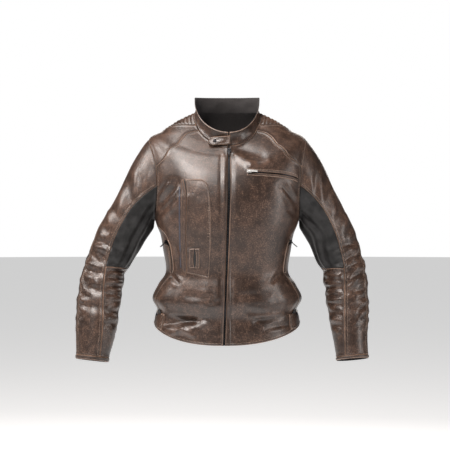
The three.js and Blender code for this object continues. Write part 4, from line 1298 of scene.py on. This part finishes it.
class JACKET_OT_long_pocket(bpy.types.Operator):
    """Lay the long chest pocket with its folded strip, welt and zip on the wearer's right front"""

    bl_idname = "jacket.long_pocket"
    bl_label = "Lay the long pocket"

    def execute(self, context):
        pitch = pitch_mm(context)
        top = ((-112, -186), (-100, -185.5), (-81, -185), (-66, -187), (-55, -195), (-49, -211), (-46, -233))
        main = patch(
            ((-107.5, -438.5), (-50, -452)),
            top,
            ((-107.5, -438.5), (-109, -340), (-107, -232), (-112, -186)),
            ((-50, -452), (-43, -345), (-46, -233)),
            30,
            96,
        )
        main = edged(main)
        x, z = main[..., 0], main[..., 1]
        window = smooth(np.clip((z + 366) / 16, 0, 1)) * smooth(np.clip((-222 - z) / 12, 0, 1))
        ridge = 2.4 * np.exp(-(((x + 106) / 5) ** 2)) * window
        crest = 2.6 * np.exp(-(((x + 103) / 8) ** 2) - ((z + 368) / 7) ** 2)
        flap = -0.7 * folds(x, z, [(-76, -186, -92, -222, 2.2, 1.0)])
        soft = noise(np.stack([x, 0 * x, z], -1), 22, 21) * 0.5
        body_part = slab(on_fronts(main), 1.5, SKIN + 0.05, ridge + crest + flap + soft)
        strip = patch(
            ((-118, -436), (-108.5, -438)),
            ((-122, -186), (-117, -186)),
            ((-118, -436), (-123, -310), (-122, -186)),
            ((-108.5, -438), (-109.5, -330), (-108.5, -236), (-117, -186)),
            5,
            96,
        )
        side_part = slab(on_fronts(edged(strip)), 1.2, SKIN + 0.05, 0.5)
        strap("long_pocket_cut", [body_part, side_part], worn(), "long_pocket")
        # Painted shade: a dark sheet of tape under the notch between the strip and the pocket's top stands in
        # for the shadow in the gap.
        low, high = ((-112, -238), (-106, -238)), ((-118, -187), (-110, -187))
        notch = patch(low, high, *zip(low, high), 2, 8)
        strap("pocket_notch_shade", [slab(on_fronts(notch), 0.3, SKIN + 0.02)], tape())
        f = steps(40)
        rail = [(x + 2 * (1 - f) ** 3, mix(-424, -206, f)) for x in (-129.5, -125.7)]
        rail = np.moveaxis(np.array(rail), 2, 0)
        strap("long_pocket_zip_cut", [slab(on_fronts(rail), 1.1, SKIN - 0.1)], dark_rail(), "long_pocket_zip")

        def welt(inner, outer):
            rows = []
            for f in steps(16):
                open_here = math.sin(f * math.pi) ** 0.8 * mix(1.25, 0.75, f)
                a, b = inner(open_here), outer(open_here)
                rows.append([(WELT["x"] + mix(a, b, u), mix(WELT["low"], WELT["high"], f)) for u in steps(6)])
            return on_fronts(edged(np.array(rows)))

        base = SKIN + 1.5
        lining = welt(lambda o: -6, lambda o: 6)
        lip_outer = welt(lambda o: -14, lambda o: -0.6 - 3.4 * o)
        lip_inner = welt(lambda o: 0.6 + 3.0 * o, lambda o: 13)
        strap("welt_lining_cut", [slab(lining, 0.3, base + 0.1)], tape(), "welt_lining")
        strap("welt_lip_outer_cut", [slab(lip_outer, 1.5, base, 0.5)], worn(), "welt_lip_outer")
        strap("welt_lip_inner_cut", [slab(lip_inner, 1.5, base, 0.5)], worn(), "welt_lip_inner")

        threads = Basket()
        right = [(-50, -449), (-46.6, -400), (-46.2, -345), (-48.4, -280), (-49.2, -233)]
        right += [(-52, -212), (-58, -197.5), (-68, -190), (-82, -188), (-110, -188.5)]
        foot = [(-116, -434.5), (-84, -440.5), (-52, -448.5)]
        stitch_on(threads, on_fronts(spread(right, 150)), SKIN + 1.5, pitch)
        stitch_on(threads, on_fronts(spread(foot, 40)), SKIN + 1.5, pitch)
        stitch_on(threads, on_fronts(spread([(-75, -190), (-80, -205), (-90, -220)], 20)), SKIN + 1.0, pitch)
        for dx in (-12.6, 6.5, 11.6):
            line = [(WELT["x"] + dx, z) for z in np.linspace(WELT["low"] + 2, WELT["high"] - 2, 20)]
            stitch_on(threads, on_fronts(line), base + 1.9, pitch)
        for z in (WELT["low"] + 1.6, WELT["high"] - 1.6):
            line = [(WELT["x"] + dx, z) for dx in np.linspace(-13, 12, 12)]
            stitch_on(threads, on_fronts(line), base + 1.7, pitch)
        for z in (-262, -268, -300, -330, -338):
            line = [(-52.5, z), (-45, z - 1.5)]
            stitch_on(threads, on_fronts(spread(line, 4)), SKIN + 1.6, pitch * 0.9, 0.5)
        threads.piece("long_pocket_stitches", thread())
        hole, up = on_fronts([(-91.5, -222.5)])
        dot = Basket()
        dot.add(*blocks(hole + up * (SKIN + 1.6), up, np.array([(0.6, 0, 0.8)]), (3.2, 3.2, 0.6)))
        dot.piece("pocket_rivet", metal("black"))
        return {"FINISHED"}


def chest_line(f):
    f = np.asarray(f, float)
    return np.stack([mix(54, 191, f), -166 - 7 * f - 9 * f**6], -1)


class JACKET_OT_chest_zip(bpy.types.Operator):
    """Set the chest zip between two leather welts on the wearer's left front"""

    bl_idname = "jacket.chest_zip"
    bl_label = "Set the chest zip"

    def execute(self, context):
        line = chest_line(steps(70))

        def band(low, high, n=4):
            rows = np.stack([line + (0, mix(low, high, u)) for u in steps(n)])
            return on_fronts(edged(rows))

        strap("chest_zip_tape_cut", [slab(band(-4.4, 4.4), 0.5, SKIN + 0.1)], tape(), "chest_zip_tape")
        for name, low, high in (("lower", -9.5, -1.9), ("upper", 1.9, 9.5)):
            welt = [slab(band(low, high), 1.7, SKIN + 0.3, 0.8)]
            strap("chest_welt_%s_cut" % name, welt, worn(), "chest_zip_welt_" + name)
        p, up = on_fronts(line)
        bits = Basket()
        bits.add(*teeth(p, up, tooth_mm(context), 4.2, 1.3, SKIN + 1.1))
        bits.piece("chest_zip_teeth", metal("black"), flat=True)
        threads = Basket()
        for rise in (-8.2, 8.2, 5.2):
            stitch_on(threads, on_fronts(line[2:-1] + (0, rise)), SKIN + 2.7, pitch_mm(context))
        stitch_on(threads, on_fronts([(54.5, -174), (54.5, -158)]), SKIN + 2.3, pitch_mm(context))
        threads.piece("chest_zip_stitches", thread())
        return {"FINISHED"}


def zip_across(level, x):
    side = -1 if x < 0 else 1
    half = ring(level, 3)
    turn = np.arcsin((abs(x) / half) ** 1.15)
    return bare(side, turn, level), outwards(side, turn, level)


class JACKET_OT_main_zip(bpy.types.Operator):
    """Set the main zip's tape and teeth behind the front edges"""

    bl_idname = "jacket.main_zip"
    bl_label = "Set the main zip"

    def execute(self, context):
        level = np.linspace(0.02, NECK - 0.02, 160)
        rows = [zip_across(level, x) for x in (-11, -6, -3, 3, 6, 11)]
        grid = np.stack([p for p, _ in rows], 1), np.stack([n for _, n in rows], 1)
        strap("main_zip_tape_cut", [slab(grid, 0.8, -SKIN - 1.5)], tape(), "main_zip_tape")
        below = level[level < 11.6]
        bits = Basket()
        bits.add(*teeth(*zip_across(below, 0.01), tooth_mm(context), 5.0, 1.6, -0.9))
        bits.piece("main_zip_teeth", metal("black"), flat=True)
        return {"FINISHED"}


def side_seam_spots(name, z, across):
    side = SIDE[name]
    turns = np.array(SIDE_SEAM[name]) * DEG
    turn = np.full(np.shape(z), 66 * DEG)
    for _ in range(12):
        turn = along(turns, np.clip(level_of(side, turn, z), 0, len(turns) - 1))
    level = level_of(side, turn, z)
    wide = np.linalg.norm(bare(side, turn + 0.01, level) - bare(side, turn - 0.01, level), axis=-1) / 0.02
    return on_side(name, turn + across / wide, level)


class JACKET_OT_hand_zips(bpy.types.Operator):
    """Set a zipped hand pocket in each side seam"""

    bl_idname = "jacket.hand_zips"
    bl_label = "Set the hand pocket zips"

    def execute(self, context):
        threads = Basket()
        bits = Basket()
        for name in SIDE:
            z = np.linspace(-440, -349, 50)

            def band(low, high):
                rows = [side_seam_spots(name, z, mix(low, high, u)) for u in steps(4)]
                return np.stack([p for p, _ in rows]), np.stack([n for _, n in rows])

            base = [slab(band(-4.5, 4.5), 0.6, SKIN + 0.1)]
            strap("hand_zip_tape_%s_cut" % name, base, tape(), "hand_zip_tape_" + name)
            lips = [slab(band(-8.5, -1.9), 1.3, SKIN + 0.2, 0.6), slab(band(1.9, 8.5), 1.3, SKIN + 0.2, 0.6)]
            strap("hand_pocket_lips_" + name, lips, leather())
            p, up = side_seam_spots(name, z[1:-1], 0.0)
            bits.add(*teeth(p, up, tooth_mm(context), 4.2, 1.2, SKIN + 1.0))
            for across in (-7.2, 7.2):
                stitch_on(threads, side_seam_spots(name, z[1:-1], across), SKIN + 2.1, pitch_mm(context))
        bits.piece("hand_zip_teeth", metal("black"), flat=True)
        threads.piece("hand_pocket_stitches", thread())
        return {"FINISHED"}


class JACKET_OT_waist_tabs(bpy.types.Operator):
    """Button a waist tab over the hem at each side"""

    bl_idname = "jacket.waist_tabs"
    bl_label = "Button the waist tabs"

    def execute(self, context):
        threads = Basket()
        for name in SIDE:
            turn = np.linspace(59, 121, 40) * DEG
            level = mix(0.3, 1.85, steps(14))
            points, up = on_side(name, turn[None, :], level[:, None])
            bend = 0.8 * np.sin(steps(39) * 9)[None, :] * np.ones(15)[:, None]
            tab = [slab((points, up), 1.7, SKIN + 0.2, 0.6 + bend)]
            strap("waist_tab_%s_cut" % name, tab, worn(), "waist_tab_" + name)
            loop = on_side(name, np.linspace(66, 76, 8)[None, :] * DEG, mix(1.72, 2.15, steps(4))[:, None])
            strap("waist_loop_" + name, [slab(loop, 1.6, SKIN + 2.0)], tape())
            for row in (1, -2):
                stitch_on(threads, (points[row], up[row]), SKIN + 2.5, pitch_mm(context))
            for column in (1, 3, -2):
                stitch_on(threads, (points[:, column], up[:, column]), SKIN + 2.5, pitch_mm(context))
        threads.piece("waist_tab_stitches", thread())
        return {"FINISHED"}


TAB = {"from": 9, "to": -52, "middle": -80, "half": 12}


class JACKET_OT_collar_tab(bpy.types.Operator):
    """Close the collar with its snap tab"""

    bl_idname = "jacket.collar_tab"
    bl_label = "Close the collar tab"

    def execute(self, context):
        along_tab = 1 - np.array([*np.linspace(0, 0.76, 18), *np.linspace(0.79, 1, 12)])
        v, u = np.meshgrid(np.linspace(-1, 1, 13), along_tab, indexing="ij")
        x = mix(TAB["from"], TAB["to"], u)
        end = np.sqrt(np.maximum(0.05, 1 - np.clip((u - 0.76) / 0.24, 0, 1) ** 2))
        z = mix(-76, TAB["middle"], u) + TAB["half"] * v * end
        y = mix(-88, -84.5 + 11 * (x / 50) ** 2, (v + 1) / 2)
        up = unit(np.stack([np.where(x < 0, x / 160, 0), -np.ones_like(x), 0.1 * np.ones_like(x)], -1))
        points = np.stack([x, y, z], -1)
        bends = folds(x, z, [(-50, -88, -8, -78, 4, 1), (-40, -72, 6, -70, 4, 1)])
        wrinkle = 0.9 * noise(points * (1, 1, 1.6), 12, 31) + 0.9 * bends
        strap("collar_tab_cut", [slab((points, up), 1.6, 0, wrinkle)], worn(), "collar_tab")
        threads = Basket()
        for row in (1, -2):
            stitch_on(threads, (points[row, 1:-3], up[row, 1:-3]), 2.2, pitch_mm(context))
        threads.piece("collar_tab_stitches", thread())
        return {"FINISHED"}


BROKEN_EDGE = 0.00045


class JACKET_OT_hardware(bpy.types.Operator):
    """Finish the sliders, pulls and snaps, with softly broken edges"""

    bl_idname = "jacket.hardware"
    bl_label = "Finish the hardware"

    def execute(self, context):
        for name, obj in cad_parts.items():
            if not name.endswith(("_slider", "_pull")) and "snap" not in name:
                continue
            kind = "silver" if name.startswith("chest") else "black"
            for slot in obj.material_slots:
                slot.material = metal(kind)
            if "snap" not in name:
                bevel = obj.modifiers.new("edges", "BEVEL")
                bevel.width, bevel.segments, bevel.limit_method = BROKEN_EDGE, 2, "ANGLE"
        return {"FINISHED"}


class JACKET_OT_stage(bpy.types.Operator):
    """Set the floor, the soft lights and the camera"""

    bl_idname = "jacket.stage"
    bl_label = "Set the stage"

    def execute(self, context):
        sizes = context.scene.jacket_sizes
        mesh = bpy.data.meshes.new("floor")
        count, reach = 96, 40
        turns = steps(count)[:-1] * 2 * math.pi
        rim = [(reach * math.cos(a), reach * math.sin(a), sizes.floor) for a in turns]
        slices = [(0, 1 + k, 1 + (k + 1) % count) for k in range(count)]
        mesh.from_pydata([(0, 0, sizes.floor)] + rim, [], slices)
        floor = bpy.data.objects.new("floor", mesh)
        context.scene.collection.objects.link(floor)
        f = Finish("pale_floor", (0.9, 0.9, 0.9), 0.9, Emission_Color=(1, 1, 1, 1), Emission_Strength=0.56)
        mesh.materials.append(f.material)
        world = bpy.data.worlds.new("studio")
        world.use_nodes = True
        tree = world.node_tree
        back = tree.nodes["Background"]
        ray = tree.nodes.new("ShaderNodeLightPath")
        spread = tree.nodes.new("ShaderNodeMapRange")
        spread.inputs["To Min"].default_value = sizes.glow
        tree.links.new(ray.outputs["Is Camera Ray"], spread.inputs["Value"])
        tree.links.new(spread.outputs["Result"], back.inputs["Strength"])
        back.inputs["Color"].default_value = (1, 1, 1, 1)
        context.scene.world = world
        for name, place, size, power in (
            ("key", (-1.0, -2.1, 1.7), (0.22, 1.0), 115),
            ("strip", (-1.25, -2.75, 0.3), (0.2, 1.0), 4),
            ("left", (-2.6, -0.7, 1.5), (0.7, 1.2), 80),
            ("right", (2.3, -1.3, 0.1), (0.14, 1.7), 30),
            ("top", (-0.8, -0.8, 2.4), (1.6, 1.0), 85),
            ("rear", (0.3, 3.0, 0.9), (2.6, 1.6), 45),
        ):
            lamp = bpy.data.lights.new(name, "AREA")
            lamp.color = (1, 0.94, 0.9)
            lamp.shape, lamp.size, lamp.size_y, lamp.energy = "RECTANGLE", size[0], size[1], power
            obj = bpy.data.objects.new(name, lamp)
            obj.location = place
            obj.rotation_euler = (Vector((0, 0, -0.3)) - Vector(place)).to_track_quat("-Z", "Y").to_euler()
            context.scene.collection.objects.link(obj)
        cam = bpy.data.cameras.new("camera")
        cam.lens, cam.sensor_width, cam.clip_end = sizes.lens, 36, 200
        obj = bpy.data.objects.new("camera", cam)
        obj.location = (-0.0056, -3.2, -0.308)
        obj.rotation_euler = (math.pi / 2, 0, 0)
        context.scene.collection.objects.link(obj)
        context.scene.camera = obj
        context.scene.view_settings.view_transform = "Standard"
        return {"FINISHED"}


class JACKET_PT_panel(bpy.types.Panel):
    """Lists the steps of making the jacket"""

    bl_label = "Jacket"
    bl_space_type = "VIEW_3D"
    bl_region_type = "UI"
    bl_category = "Jacket"

    def draw(self, context):
        for group in (context.scene.jacket_sizes, context.scene.jacket_finishes):
            for key in group.bl_rna.properties.keys():
                if key not in ("rna_type", "name"):
                    self.layout.prop(group, key)
        for step in STEPS:
            self.layout.operator(step.bl_idname)


STEPS = (
    JACKET_OT_panels,
    JACKET_OT_stitching,
    JACKET_OT_long_pocket,
    JACKET_OT_chest_zip,
    JACKET_OT_main_zip,
    JACKET_OT_hand_zips,
    JACKET_OT_waist_tabs,
    JACKET_OT_collar_tab,
    JACKET_OT_hardware,
    JACKET_OT_stage,
)
GROUPS = (JacketFinishes, JacketSizes)


def register():
    for cls in (*GROUPS, *STEPS, JACKET_PT_panel):
        bpy.utils.register_class(cls)
    bpy.types.Scene.jacket_finishes = PointerProperty(type=JacketFinishes)
    bpy.types.Scene.jacket_sizes = PointerProperty(type=JacketSizes)


def unregister():
    del bpy.types.Scene.jacket_finishes, bpy.types.Scene.jacket_sizes
    for cls in reversed((*GROUPS, *STEPS, JACKET_PT_panel)):
        bpy.utils.unregister_class(cls)


def main():
    register()
    for step in STEPS:
        group, name = step.bl_idname.split(".")
        getattr(getattr(bpy.ops, group), name)()
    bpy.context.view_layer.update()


if __name__ == "__main__":
    main()
